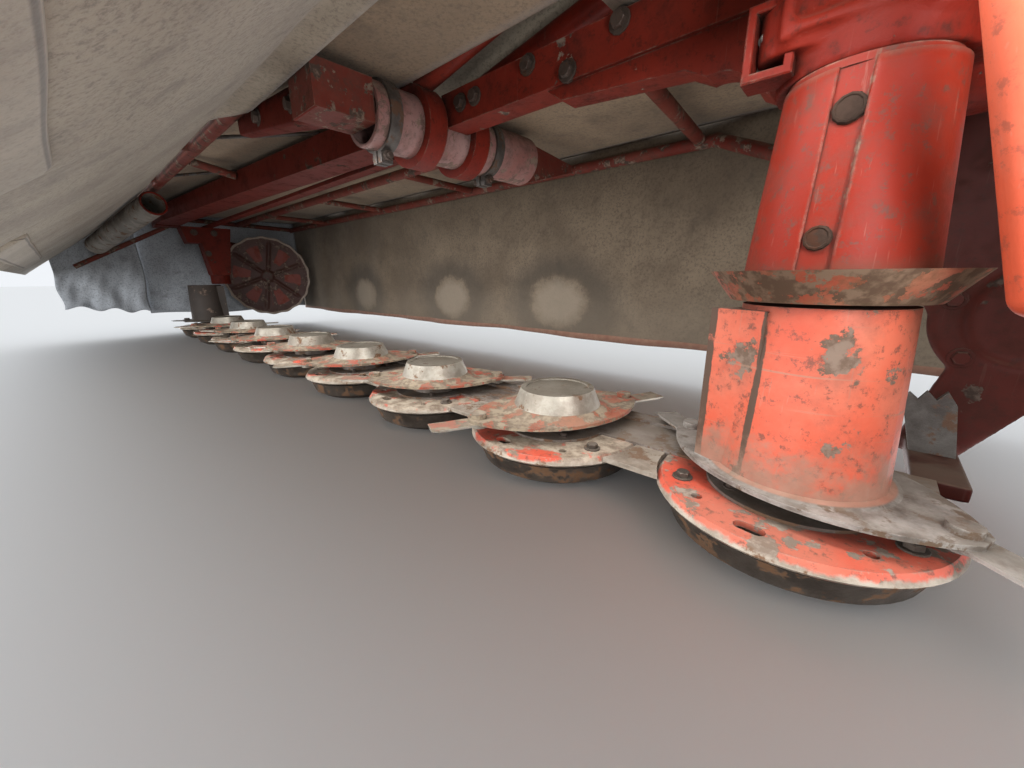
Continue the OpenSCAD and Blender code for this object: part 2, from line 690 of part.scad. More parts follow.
// Lower beam of the headstock with its end plates, and the box beam to the lift hinge
module headstock_frame() color(red) {
    half = hitch_span / 2 - 45;
    translate([hitch_x - half, hitch_y - 120, hitch_z - 50]) cube([2 * half, 90, 100]);
    for (s = [-1, 1]) translate([hitch_x + s * half - (s > 0 ? plate : 0), hitch_y - 30 - e, hitch_z - 50])
        cube([plate, 60, 100]);
    translate([hitch_x + 190, hitch_y - 130, hitch_z + 50 - e]) cube([90, 90, 330]);
    translate([hitch_x + 190, arm_y - lift_half - 40, hitch_z + 290]) cube([90, hitch_y - 130 - arm_y + lift_half + 41, 90]);
    translate([hitch_x + 190, 180, 620]) cube([90, 120, 180]);
    difference() {
        translate([stand_x, stand_y, hitch_z - 50]) cylinder(h = 70, r = 40);
        translate([stand_x, stand_y, hitch_z - 60]) cylinder(h = 140, r = 28 + seat);
    }
}

// Mast of two flat bars up to the top link ears
module top_mast() color(red) {
    for (s = [-1, 1]) difference() {
        translate([s > 0 ? hitch_x + top_gap / 2 : hitch_x - top_gap / 2 - plate, 0, 0]) side_plate(0, plate) {
            polygon([[hitch_y - 112, hitch_z + 50], [hitch_y - 40, hitch_z + 50], [hitch_y + 26, hitch_z + mast_height - 20],
                [hitch_y + 26, hitch_z + mast_height + 30], [hitch_y - 40, hitch_z + mast_height + 30]]);
        }
        rod([hitch_x - 80, hitch_y - 8, hitch_z + mast_height], [hitch_x + 80, hitch_y - 8, hitch_z + mast_height], top_pin_r);
    }
}

module hitch_pins() color(steel) {
    half = hitch_span / 2 - 45;
    for (s = [-1, 1]) rod([hitch_x + s * (half + seat), hitch_y, hitch_z], [hitch_x + s * (half + 90 - seat), hitch_y, hitch_z], hitch_pin_r);
}

// Belt and gear case behind the hitch, with the power shaft stub
module drive_gearbox() color(red) {
    translate([hitch_x - 120, 120, 580]) cube([240, 240, 180]);
    translate([hitch_x + 120 - e, 180, 640]) cube([70 + e, 120, 60]);
    rod([hitch_x, 340, 670], [hitch_x, 440, 670], shaft_r);
    rod([hitch_x + 100, 150, 670], [hitch_x + 180, 150, 670], shaft_r);
}

// Ears that carry the lift hinge and the cylinder
module lift_bracket() color(red) {
    for (s = [-1, 1]) cross_plate(arm_y + s * (lift_half + 7) - 7, plate) {
        polygon([[hitch_x + 190, hitch_z + 380], [hitch_x + 280, hitch_z + 380], [lift_x + 50, 1000], [lift_x + 44, 1070],
            [barrel_eye[0] + 50, barrel_eye[1] + 40], [barrel_eye[0] - 40, barrel_eye[1] + 40],
            [barrel_eye[0] - 40, barrel_eye[1] - 50]]);
    }
    rod([lift_x, arm_y - lift_half - 30, lift_z], [lift_x, arm_y + lift_half + 30, lift_z], lift_pin_r);
    rod([barrel_eye[0], arm_y - lift_half - 20, barrel_eye[1]], [barrel_eye[0], arm_y + lift_half + 20, barrel_eye[1]], 12.2);
}

// Parking leg that slides in its sleeve
module parking_stand() color(dark) {
    translate([stand_x - 60, stand_y - 60, 0]) cube([120, 120, 8]);
    translate([stand_x, stand_y, 8 - e]) cylinder(h = 540, r = 28);
}

cutter_bar();
skid_soles();
guard_plates();
inner_drum();
disc_1();
disc_2();
disc_3();
disc_4();
disc_5();
disc_6();
disc_7();
outer_drum();
drum_housing();
housing_cover();
drum_collar();
gearbox();
inner_carrier();
divider_fin();
guard_post();
inner_beam();
pendulum_tube();
tube_straps();
outer_beam();
beam_flat();
outer_pillar();
front_rail();
middle_rail();
rear_rail();
roof_struts();
end_frames();
flap_pipe();
roof_canvas();
roof_hood();
rear_curtain();
outer_curtain();
inner_curtain();
flap_frame();
flap_canvas();
swath_arm();
swath_disc();
carrying_arm();
cylinder_barrel();
cylinder_rod();
headstock_frame();
top_mast();
hitch_pins();
drive_gearbox();
lift_bracket();
parking_stand();
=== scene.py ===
# %% [markdown]
# # A disc mower seen from under its canopy
# The mower stands on its skids. The solids come packed from the CAD program, so this file
# only gives them their surfaces, adds the small pieces and replaces the stiff canvas plates
# by hanging cloth. Everything is in metres: X runs outward along the cutter bar, Y forward.

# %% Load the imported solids
import json
import math
from functools import partial

import bmesh
import bpy
import numpy as np
from mathutils import Matrix, Vector


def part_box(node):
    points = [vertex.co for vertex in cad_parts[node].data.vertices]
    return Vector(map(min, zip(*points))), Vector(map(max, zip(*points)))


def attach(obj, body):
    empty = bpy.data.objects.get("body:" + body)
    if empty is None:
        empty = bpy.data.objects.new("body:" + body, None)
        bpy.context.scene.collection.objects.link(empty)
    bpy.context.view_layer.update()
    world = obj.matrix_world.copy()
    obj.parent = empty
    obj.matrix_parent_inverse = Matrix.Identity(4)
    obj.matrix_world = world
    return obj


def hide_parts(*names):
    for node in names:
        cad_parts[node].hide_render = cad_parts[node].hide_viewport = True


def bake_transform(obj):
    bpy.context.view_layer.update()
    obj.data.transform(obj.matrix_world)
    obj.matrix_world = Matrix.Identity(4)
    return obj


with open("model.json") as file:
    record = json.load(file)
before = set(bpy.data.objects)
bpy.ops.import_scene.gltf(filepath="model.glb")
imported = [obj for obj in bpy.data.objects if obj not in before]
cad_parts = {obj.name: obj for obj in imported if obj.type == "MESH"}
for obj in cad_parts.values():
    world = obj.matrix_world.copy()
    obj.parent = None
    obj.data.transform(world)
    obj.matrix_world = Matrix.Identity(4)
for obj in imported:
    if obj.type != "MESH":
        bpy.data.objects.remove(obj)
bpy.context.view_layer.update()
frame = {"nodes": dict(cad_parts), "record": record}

solids = frame["nodes"]
scene = bpy.context.scene
rotor_pitch = 0.385

# %% [markdown]
# ## The camera
# The photo was taken from low in front of the machine, with the lens under the front flap and
# a very wide angle. Nine rotors on one line at an equal pitch fix the place and the direction
# of the camera, so its three axes are written down here as they were found.

# %% Camera
camera_data = bpy.data.cameras.new("camera")
camera = bpy.data.objects.new("camera", camera_data)
scene.collection.objects.link(camera)
right = Vector((-0.74488, -0.66712, -0.00985))
up = Vector((0.16957, -0.20356, 0.96427))
ahead = Vector((0.64529, -0.71660, -0.26475))
stands_at = Vector((-0.0422, 0.6055, 0.3492))
camera.matrix_world = Matrix([[right[i], up[i], -ahead[i], stands_at[i]] for i in range(3)] + [[0, 0, 0, 1]])
camera_data.sensor_width = 36
camera_data.lens = 13.842
camera_data.clip_start = 0.01
camera_data.clip_end = 200
scene.camera = camera
print("lens:", camera_data.lens, "mm")

# %% [markdown]
# ## Building shader nodes with few words
# A material here is a small tree of nodes. A few helpers keep it readable: one adds a node and
# fills its sockets, and others mix two colours by a mask or do one sum. All of them add to the
# tree that was started last. Every material is kept in finish, under its own name.

# %% Node helpers
finish = {}
# the tree that is being built: new_material and new_group start one, and every helper adds to it
tree = None


def new_material(name):
    """Starts a new material's tree and gives back its shader."""
    global tree
    finish[name] = bpy.data.materials.new(name)
    finish[name].use_nodes = True
    tree = finish[name].node_tree
    return tree.nodes["Principled BSDF"]


def fill(socket, value):
    """Links a socket to the one that gives its value, or writes a plain value into it."""
    if isinstance(value, bpy.types.NodeSocket):
        tree.links.new(value, socket)
    else:
        socket.default_value = value


def add_node(kind, inputs=None, **settings):
    """Adds a shader node, sets its options, and fills its inputs, given by name or number."""
    made = tree.nodes.new("ShaderNode" + kind)
    for key, value in settings.items():
        setattr(made, key, value)
    for key, value in (inputs or {}).items():
        fill(made.inputs[key], value)
    return made


def mixed(mask, low, high):
    """The colour low where the mask is 0 and high where it is 1; each is three numbers or a socket."""
    low, high = ((*color, 1.0) if isinstance(color, tuple) else color for color in (low, high))
    return add_node("Mix", {0: mask, 6: low, 7: high}, data_type="RGBA").outputs[2]


def maths(operation, a, b=0.0, clamp=False):
    return add_node("Math", {0: a, 1: b}, operation=operation, use_clamp=clamp).outputs[0]


times, plus, minus = partial(maths, "MULTIPLY"), partial(maths, "ADD"), partial(maths, "SUBTRACT")
divided, larger, smaller = partial(maths, "DIVIDE"), partial(maths, "MAXIMUM"), partial(maths, "MINIMUM")


def distance(a, b):
    """The square root of a squared plus b squared."""
    return maths("SQRT", plus(times(a, a), times(b, b)))


def stepped(value, start, end, low=0.0, high=1.0):
    """A smooth step of value: low before start, high after end."""
    inputs = {"Value": value, "From Min": start, "From Max": end, "To Min": low, "To Max": high}
    return add_node("MapRange", inputs, interpolation_type="SMOOTHSTEP").outputs[0]


def noise(vector, scale, detail=4.0, roughness=0.6):
    inputs = {"Vector": vector, "Scale": scale, "Detail": detail, "Roughness": roughness}
    return add_node("TexNoise", inputs).outputs["Fac"]


def patchy(vector, scale, detail, roughness, start, end, low=0.0, high=1.0):
    """Noise cut into patches: low where it is below start, high where it is above end."""
    return stepped(noise(vector, scale, detail, roughness), start, end, low, high)


def object_place():
    return add_node("TexCoord").outputs["Object"]


def axes_of(vector):
    return add_node("SeparateXYZ", {0: vector}).outputs


def facing():
    """X, Y and Z of the direction that the surface looks in."""
    return axes_of(add_node("NewGeometry").outputs["Normal"])


print("node helpers are ready")

# %% [markdown]
# ## Floor and light
# A plain pale floor and an even pale sky light the outside. Little of that reaches the space
# under the canopy, so broad soft lamps stand low in front and at both ends of the machine. They
# light the machine and leave the floor out, which keeps the floor plain from every side. The
# lamps under the canopy ride with the cutting unit. The floor throws less light back than it
# shows to the camera, so that the underside of the canopy stays dim. The view transform is
# Standard, which shows a colour about as it is written.

# %% Floor
scene.view_settings.view_transform = "Standard"
floor_mesh = bpy.data.meshes.new("floor")
floor_mesh.from_pydata([(-40, -40, 0), (40, -40, 0), (40, 40, 0), (-40, 40, 0)], [], [(0, 1, 2, 3)])
floor = bpy.data.objects.new("floor", floor_mesh)
scene.collection.objects.link(floor)
shader = new_material("floor_paint")
seen = add_node("LightPath").outputs
direct = larger(seen["Is Camera Ray"], seen["Is Glossy Ray"])
fill(shader.inputs["Base Color"], mixed(direct, (0.46, 0.45, 0.43), (0.90, 0.90, 0.89)))
shader.inputs["Roughness"].default_value = 0.9
floor_mesh.materials.append(finish["floor_paint"])
print("floor:", len(floor_mesh.polygons), "face")

# %% Sky and lamps
world = bpy.data.worlds.new("pale_sky")
scene.world = world
world.use_nodes = True
sky = world.node_tree.nodes["Background"].inputs
sky["Color"].default_value = (0.93, 0.96, 1.0, 1)
sky["Strength"].default_value = 0.95

left_out = bpy.data.collections.new("left_out_by_lamps")
left_out.objects.link(floor)
left_out.collection_objects[0].light_linking.link_state = "EXCLUDE"


def soft_lamp(name, at, towards, width, height, power, rides=False):
    """A lamp at one point that faces another; the camera doesn't see it and the floor isn't lit."""
    data = bpy.data.lights.new(name, "AREA")
    data.shape = "RECTANGLE"
    data.size = width
    data.size_y = height
    data.energy = power
    lamp = bpy.data.objects.new(name, data)
    scene.collection.objects.link(lamp)
    lamp.location = at
    lamp.rotation_mode = "QUATERNION"
    lamp.rotation_quaternion = (Vector(towards) - Vector(at)).to_track_quat("-Z", "Y")
    lamp.visible_camera = False
    lamp.light_linking.receiver_collection = left_out
    if rides:
        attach(lamp, "unit")


soft_lamp("lamp_front", (1.3, 2.1, 0.45), (1.1, -0.3, 0.35), 3.0, 0.7, 42)
soft_lamp("lamp_under_flap", (0.8, 0.70, 0.04), (0.8, 0.48, 0.60), 2.4, 0.25, 2.6, rides=True)
soft_lamp("lamp_over_guards", (1.0, 0.20, 0.60), (1.0, 0.05, 0.0), 2.4, 0.10, 11, rides=True)
soft_lamp("lamp_under_roof", (1.0, -0.30, 0.03), (1.0, -0.22, 0.75), 2.6, 0.25, 4.5, rides=True)
soft_lamp("lamp_tractor_side", (-2.4, 0.3, 0.50), (0.1, -0.1, 0.4), 1.0, 0.8, 22)
soft_lamp("lamp_beside_drum", (-0.25, 0.36, 0.50), (0.0, 0.0, 0.50), 0.10, 0.26, 2.7, rides=True)
soft_lamp("lamp_outer", (4.9, 0.2, 0.4), (2.0, -0.2, 0.3), 1.4, 0.6, 16)
soft_lamp("lamp_behind", (0.6, -2.0, 0.12), (0.6, 0.0, 0.25), 3.0, 0.2, 8)

# %% [markdown]
# ## Effects that several finishes share
# Years of work leave the same marks on every painted piece: chips in patches, bare edges, mud in the corners,
# dust on what faces up, and fine scratches that run one way. The corners are darkened where little sky
# reaches them, which is painted shade as well as mud. Each mark is a node group that gives out a mask, so
# that every finish can use it with its own strength.

# %% Shared effects
def new_group(name, **inputs):
    """Starts a node group with number inputs and one mask: the group, its inputs and its output."""
    global tree
    tree = bpy.data.node_groups.new(name, "ShaderNodeTree")
    for key, value in inputs.items():
        socket = tree.interface.new_socket(key, in_out="INPUT", socket_type="NodeSocketFloat")
        socket.default_value = value
    tree.interface.new_socket("Mask", in_out="OUTPUT", socket_type="NodeSocketFloat")
    return tree, tree.nodes.new("NodeGroupInput").outputs, tree.nodes.new("NodeGroupOutput").inputs["Mask"]


def both(first, second, amount):
    """The product of two masks and an amount, kept between 0 and 1."""
    return times(times(first, second), amount, True)


# Patches: broken noise above a threshold that falls as the amount grows
patches, given, out = new_group("patches", Scale=12.0, Amount=0.3, Soft=0.03)
fac = noise(object_place(), given["Scale"], 8.0, 0.68)
threshold = minus(0.74, times(given["Amount"], 0.42))
fill(out, stepped(fac, threshold, plus(threshold, given["Soft"])))

# Bare edges: where a rounded copy of the surface would point another way
edges, given, out = new_group("bare_edges", Radius=0.004, Amount=1.0)
rounded = add_node("Bevel", {"Radius": given["Radius"]}, samples=4).outputs[0]
flat = add_node("NewGeometry").outputs["Normal"]
turned = add_node("VectorMath", {0: rounded, 1: flat}, operation="DOT_PRODUCT").outputs["Value"]
sharp = stepped(minus(1.0, turned), 0.02, 0.22)
broken = patchy(object_place(), 38.0, 6.0, 0.7, 0.40, 0.56)
fill(out, both(sharp, broken, given["Amount"]))

# Corners: mud, and painted shade where little sky reaches the surface, broken up by noise
corners, given, out = new_group("corner_mud_and_shade", Distance=0.05, Amount=1.0)
open_sky = add_node("AmbientOcclusion", {"Distance": given["Distance"]}, samples=4).outputs["AO"]
closed = stepped(minus(1.0, open_sky), 0.15, 0.85)
ragged = patchy(object_place(), 16.0, 7.0, 0.7, 0.25, 0.62)
fill(out, both(closed, ragged, given["Amount"]))

# Dust: on faces that look up
dust, given, out = new_group("dust_on_top", Amount=1.0)
level = stepped(facing()["Z"], 0.35, 0.95)
cloudy = patchy(object_place(), 9.0, 7.0, 0.66, 0.30, 0.62)
fill(out, both(level, cloudy, given["Amount"]))

# Scratches: noise stretched so far that only thin streaks are left
scratches, given, out = new_group("scratches", Across=260.0, Along=7.0, Amount=0.5)
axes = axes_of(object_place())
stretch = {"X": given["Across"], "Y": given["Across"], "Z": given["Along"]}
stretched = {key: times(axes[key], stretch[key]) for key in "XYZ"}
drawn = add_node("CombineXYZ", stretched).outputs[0]
thin = patchy(drawn, 1.0, 3.0, 0.5, 0.66, 0.72)
fill(out, times(thin, given["Amount"], True))
print("shared effects:", [g.name for g in bpy.data.node_groups])

# %% [markdown]
# ## Red paint, worn, and bare steel
# The paint was a bright orange red. Where it is rubbed it turns salmon, where it has chipped it shows dark
# rust or grey steel, and mud and painted shade darken the corners. Domes, blades and lips run through the
# crop all day, which polishes them. Many pieces are half painted and half bare, so paint and steel are
# written as two coats that a material can lay side by side.

# %% Coats
def use(effect, **values):
    """Places a shared effect in a material and gives back its mask."""
    made = tree.nodes.new("ShaderNodeGroup")
    made.node_tree = effect
    for key, value in values.items():
        made.inputs[key].default_value = value
    return made.outputs["Mask"]


def wear_masks(edge=0.9, grime_and_shade=0.8, dusty=0.45):
    """The three marks that depend on the shape: worn edges, corners darkened by mud and painted shade, and
    dust on top.
    """
    return {"rim": use(edges, Amount=edge), "mud": use(corners, Amount=grime_and_shade),
            "dust": use(dust, Amount=dusty)}


def paint_coat(place, marks, paint, faded, bare=(0.075, 0.052, 0.042), light_bare=(0.21, 0.15, 0.115),
               dirt=(0.060, 0.044, 0.034), powder=(0.20, 0.155, 0.115), chips=0.30, fade=0.45, film=0.25,
               rough=0.42, scratch=0.3, size=12.0, speck=0.45):
    """Paint that fades in clouds and chips down to the steel: its colour, roughness, metal and relief."""
    clouds = patchy(place, size * 0.45, 7.0, 0.62, 0.36, 0.66, 0.0, fade)
    color = mixed(clouds, paint, faded)
    scratched = tuple(0.5 * p + 0.5 * q for p, q in zip(faded, light_bare))
    color = mixed(use(scratches, Amount=scratch), color, scratched)
    soot = patchy(place, size * 1.7, 9.0, 0.74, 0.44, 0.72, 0.0, film)
    color = mixed(soot, color, dirt)
    specks = patchy(place, 75.0, 7.0, 0.78, 0.53, 0.64, 0.0, speck)
    color = mixed(specks, color, dirt)
    chipped = use(patches, Scale=size * 1.6, Amount=chips, Soft=0.018)
    worn = larger(chipped, marks["rim"])
    metal = mixed(patchy(place, 55.0, 4.0, 0.6, 0.42, 0.60), bare, light_bare)
    color = mixed(worn, color, metal)
    # mud and painted shade in the corners, where little sky reaches
    color = mixed(marks["mud"], color, dirt)
    color = mixed(marks["dust"], color, powder)
    dull = larger(larger(worn, marks["mud"]), larger(marks["dust"], soot))
    relief = minus(times(noise(place, 140.0, 4.0, 0.65), 0.35), times(chipped, 0.5))
    return {"color": color, "rough": stepped(dull, 0.0, 0.8, rough, 0.86), "metal": 0.0, "relief": relief}


def steel_coat(place, marks, bright, dark, rough=0.34, metallic=0.6, mud=0.4, size=16.0,
               rust=(0.16, 0.085, 0.045), powder=(0.20, 0.165, 0.130)):
    """Worn steel: bright where rubbed, dark and rough where mud or rust has dried on."""
    clouds = patchy(place, size, 8.0, 0.68, 0.36, 0.64)
    color = mixed(clouds, bright, dark)
    color = mixed(use(scratches, Across=120.0, Along=120.0, Amount=0.35), color, bright)
    color = mixed(marks["rim"], color, bright)
    rusty = use(patches, Scale=size * 1.5, Amount=mud, Soft=0.06)
    color = mixed(rusty, color, rust)
    color = mixed(marks["dust"], color, powder)
    # mud and painted shade in the corners, where little sky reaches
    color = mixed(marks["mud"], color, (0.055, 0.042, 0.033))
    dull = larger(larger(rusty, marks["dust"]), marks["mud"])
    return {"color": color, "rough": stepped(dull, 0.0, 0.7, rough, 0.82),
            "metal": stepped(dull, 0.0, 0.7, metallic, 0.05), "relief": noise(place, 170.0, 5.0, 0.7)}


def side_by_side(where, first, second):
    """The first coat where the mask is 0 and the second where it is 1."""
    coat = {"color": mixed(where, first["color"], second["color"])}
    for key in ("rough", "metal", "relief"):
        inputs = {0: where, 2: first[key], 3: second[key]}
        coat[key] = add_node("Mix", inputs, data_type="FLOAT").outputs[0]
    return coat


def tint(coat, mask, color):
    """Lays a colour over a coat where the mask is 1."""
    coat["color"] = mixed(mask, coat["color"], color)


def lay_on(shader, coat, grain=0.0015, gloss=0.30):
    """Links a finished coat to the shader. grain is the depth of its relief in metres."""
    bump = add_node("Bump", {"Height": coat["relief"], "Distance": grain, "Strength": 0.55})
    for key, value in {"Base Color": coat["color"], "Roughness": coat["rough"], "Metallic": coat["metal"],
                       "Specular IOR Level": gloss, "Normal": bump.outputs[0]}.items():
        fill(shader.inputs[key], value)


def painted(name, paint, faded, edge=0.9, grime_and_shade=0.8, dusty=0.45, grain=0.0015, gloss=0.30, **values):
    """A finish of worn paint; values go on to the coat."""
    shader = new_material(name)
    marks = wear_masks(edge, grime_and_shade, dusty)
    lay_on(shader, paint_coat(object_place(), marks, paint, faded, **values), grain, gloss)


def steel(name, bright, dark, edge=0.5, top=0.7, gloss=0.30, **values):
    """A finish of worn steel, with its dust given by top; values go on to the coat."""
    shader = new_material(name)
    marks = wear_masks(edge, 0.8, top)
    lay_on(shader, steel_coat(object_place(), marks, bright, dark, **values), 0.0012, gloss)


print("coats: paint and steel")

# %% Painted finishes
black_dirt = (0.020, 0.011, 0.008)
# painted shade: cast_red is a darker copy of the red paint, for the gearbox that stands in shade under the
# canopy; other castings share it
painted("cast_red", (0.12, 0.009, 0.005), (0.16, 0.019, 0.011), dirt=black_dirt, chips=0.22, fade=0.6,
        film=0.50, rough=0.44, scratch=0.1, grain=0.004, size=11.0, grime_and_shade=1.0, gloss=0.07)
painted("orange_paint", (0.52, 0.078, 0.034), (0.55, 0.16, 0.095), chips=0.10, film=0.22, rough=0.36,
        size=9.0)
# painted shade: dull_red is a darker copy of the red paint, for the beams in shade under the roof
painted("dull_red", (0.16, 0.015, 0.008), (0.19, 0.028, 0.017), dirt=black_dirt, chips=0.30, film=0.55,
        rough=0.46, size=8.0, grime_and_shade=1.0, gloss=0.14)
# painted shade: dark_red is a still darker copy of the red paint, for the outer beam and pillar that stand in
# shade at the far end; other frame parts share it
painted("dark_red", (0.105, 0.012, 0.007), (0.14, 0.022, 0.014), dirt=black_dirt,
        bare=(0.040, 0.026, 0.020), light_bare=(0.09, 0.065, 0.05), chips=0.30, film=0.6, rough=0.50,
        size=9.0, grime_and_shade=1.0, gloss=0.08)
painted("rail_red", (0.135, 0.024, 0.017), (0.20, 0.070, 0.050), chips=0.45, film=0.65, rough=0.5,
        size=13.0, grime_and_shade=1.0, gloss=0.10)
painted("faded_tube", (0.25, 0.105, 0.092), (0.34, 0.225, 0.210), bare=(0.15, 0.095, 0.080),
        dirt=(0.10, 0.065, 0.055), chips=0.46, fade=0.8, film=0.75, rough=0.44, size=12.0, speck=0.7)
painted("collar", (0.30, 0.060, 0.032), (0.29, 0.135, 0.080), bare=(0.10, 0.062, 0.040),
        light_bare=(0.18, 0.12, 0.080), dirt=(0.125, 0.068, 0.038), chips=0.66, fade=0.8, film=0.85,
        dusty=0.2, rough=0.6, size=25.0, gloss=0.15)
painted("dark_drum", (0.035, 0.027, 0.022), (0.075, 0.055, 0.045), chips=0.35, film=0.5, rough=0.6, size=12.0)
# painted shade: carrier_red is a nearly black copy of the red paint, for the carrier in deep shade behind the
# drum
painted("carrier_red", (0.040, 0.007, 0.005), (0.065, 0.015, 0.011), dirt=black_dirt,
        bare=(0.03, 0.02, 0.016), light_bare=(0.07, 0.05, 0.04), chips=0.22, fade=0.6, film=0.6, rough=0.50,
        size=10.0, grime_and_shade=1.0, gloss=0.08)
print("painted finishes:", sorted(finish))

# %% [markdown]
# The swath disc, the drums, the discs and the guards carry marks in set places: rusty strips
# down a paddle, grey chips along the seam of the housing, a rubbed lip. Each mark is a mask
# worked out from the place in the mower's own frame, in metres.

# %% Marks in set places
def placed_material(name):
    """A new material's shader, with the place of its surface in metres and that place's axes."""
    shader = new_material(name)
    place = object_place()
    return shader, place, axes_of(place)


def beside_line(axes, x, y, reach, edge):
    """1 within reach of the upright line at x and y, down to 0 over the width of the edge."""
    away = distance(minus(axes["X"], x), minus(axes["Y"], y))
    return stepped(away, reach, reach + edge, 1.0, 0.0)


def ragged_by(mask, place, scale, keep=0.45):
    """Breaks a mask up with noise, so that its edge frays."""
    return stepped(times(mask, noise(place, scale, 7.0, 0.7)), keep * 0.62, keep * 0.95)


# Housing and its cover: red with chips along the seam of the sunk strip, and a darker foot that is soot and
# painted shade where the collar meets it
shader, place, axes = placed_material("bright_red")
red, salmon = (0.175, 0.013, 0.0055), (0.235, 0.031, 0.017)
coat = paint_coat(place, wear_masks(0.9, 1.0, 0.3), red, salmon, chips=0.20, fade=0.45, film=0.50,
                  rough=0.50, scratch=0.35, size=10.0, speck=0.6)
# the seam leans from x = -0.004 at the foot to x = -0.009 at the top; its chips stay within 5 mm of it
seam_x = plus(times(axes["Z"], -0.0238), 0.0039)
from_seam = maths("ABSOLUTE", minus(axes["X"], seam_x))
ahead_of = stepped(axes["Y"], 0.05, 0.055)
chipped = times(stepped(from_seam, 0.001, 0.0055, 1.0, 0.0), ahead_of)
seam = ragged_by(chipped, place, 42.0, 0.72)
bare_spots = mixed(noise(place, 90.0), (0.05, 0.028, 0.018), (0.26, 0.18, 0.13))
tint(coat, seam, bare_spots)
# soot and painted shade: the housing is darker towards its foot
uneven = plus(axes["Z"], times(noise(place, 22.0, 8.0, 0.7), 0.07))
foot = stepped(uneven, 0.365, 0.405, 0.75, 0.0)
tint(coat, foot, (0.12, 0.040, 0.024))
lay_on(shader, coat, gloss=0.13)

# Drum: salmon paddles between rusty strips, a scratched foot, and its disc and blades of grey steel
shader, place, axes = placed_material("drum_red")
marks = wear_masks(0.9, 0.8, 0.85)
coat = paint_coat(place, marks, (0.56, 0.078, 0.036), (0.54, 0.195, 0.125), bare=(0.13, 0.085, 0.060),
                  chips=0.34, fade=0.70, film=0.38, rough=0.42, scratch=0.45, size=8.0, speck=0.7)
scuffs = use(scratches, Across=6.0, Along=210.0, Amount=0.55)
tint(coat, scuffs, (0.30, 0.185, 0.130))
strips = larger(beside_line(axes, 0.110, 0.0455, 0.006, 0.007),
                beside_line(axes, 0.0445, 0.0790, 0.003, 0.005))
tint(coat, ragged_by(strips, place, 46.0, 0.42), (0.085, 0.050, 0.034))
uneven = plus(axes["Z"], times(noise(place, 16.0, 8.0, 0.72), 0.21))
foot = stepped(uneven, 0.215, 0.265, 0.8, 0.0)
rubbed = mixed(noise(place, 48.0, 6.0), (0.16, 0.085, 0.055), (0.36, 0.235, 0.175))
tint(coat, foot, rubbed)
plate = steel_coat(place, marks, (0.43, 0.40, 0.365), (0.145, 0.118, 0.096), mud=0.46, metallic=0.45,
                   rough=0.45, rust=(0.13, 0.085, 0.055), powder=(0.19, 0.17, 0.145))
# the disc lies below the drum's foot and reaches out past it
below = stepped(axes["Z"], 0.1022, 0.1034, 1.0, 0.0)
disc_part = larger(below, stepped(distance(axes["X"], axes["Y"]), 0.124, 0.126))
lay_on(shader, side_by_side(disc_part, coat, plate))

# Discs: a red oval worn to grey under a bare dome, and bare blades below it
shader, place, axes = placed_material("disc_steel")
marks = wear_masks(1.0, 0.8, 0.38)
oval = paint_coat(place, marks, (0.42, 0.062, 0.032), (0.33, 0.155, 0.095), bare=(0.17, 0.130, 0.092),
                  light_bare=(0.33, 0.268, 0.190), dirt=(0.085, 0.060, 0.040), chips=0.66, fade=0.9,
                  film=0.50, rough=0.5, scratch=0.6, size=17.0, speck=0.6)
dome = steel_coat(place, marks, (0.46, 0.425, 0.36), (0.27, 0.235, 0.19), mud=0.40, metallic=0.45, rough=0.42)
# painted shade: the flat top of each dome, 0.139 m above the ground, is darkened where it faces up
level = stepped(facing()["Z"], 0.9, 0.97, 0.0, 0.62)
shaded_dome_top = times(stepped(axes["Z"], 0.138, 0.139), level)
tint(dome, shaded_dome_top, (0.085, 0.070, 0.050))
# the dome starts at a height of 0.110 m, and the blades lie under 0.095 m
bare_part = larger(stepped(axes["Z"], 0.1095, 0.1105), stepped(axes["Z"], 0.0949, 0.0953, 1.0, 0.0))
lay_on(shader, side_by_side(bare_part, oval, dome))

# Guards: flat red plates with a rubbed pale rim; the lips between them are bare steel
shader, place, axes = placed_material("worn_red")
marks = wear_masks(1.0, 0.45, 0.25)
# distance to the nearest rotor's axis: X folded every half pitch, then joined with Y
away = distance(maths("PINGPONG", axes["X"], rotor_pitch / 2), axes["Y"])
top_paint = paint_coat(place, marks, (0.62, 0.072, 0.036), (0.56, 0.165, 0.105), bare=(0.20, 0.150, 0.115),
                       light_bare=(0.34, 0.28, 0.225), chips=0.50, fade=0.75, film=0.34, rough=0.45,
                       scratch=0.5, size=13.0, speck=0.7)
# the guard under the drum kept its paint; the others are worn down to the steel in large patches
rubbed = times(stepped(axes["X"], 0.19, 0.26), use(patches, Scale=9.0, Amount=0.72, Soft=0.05))
steel_tones = mixed(patchy(place, 40.0, 8.0, 0.72, 0.36, 0.62), (0.19, 0.140, 0.100), (0.43, 0.36, 0.275))
tint(top_paint, rubbed, steel_tones)
lip = steel_coat(place, marks, (0.46, 0.40, 0.33), (0.21, 0.165, 0.125), mud=0.45, metallic=0.30, rough=0.5)
frayed = plus(away, times(minus(noise(place, 30.0, 7.0, 0.7), 0.5), 0.012))
lay_on(shader, side_by_side(stepped(frayed, 0.1635, 0.1665), top_paint, lip))
print("finishes with set marks: 4")

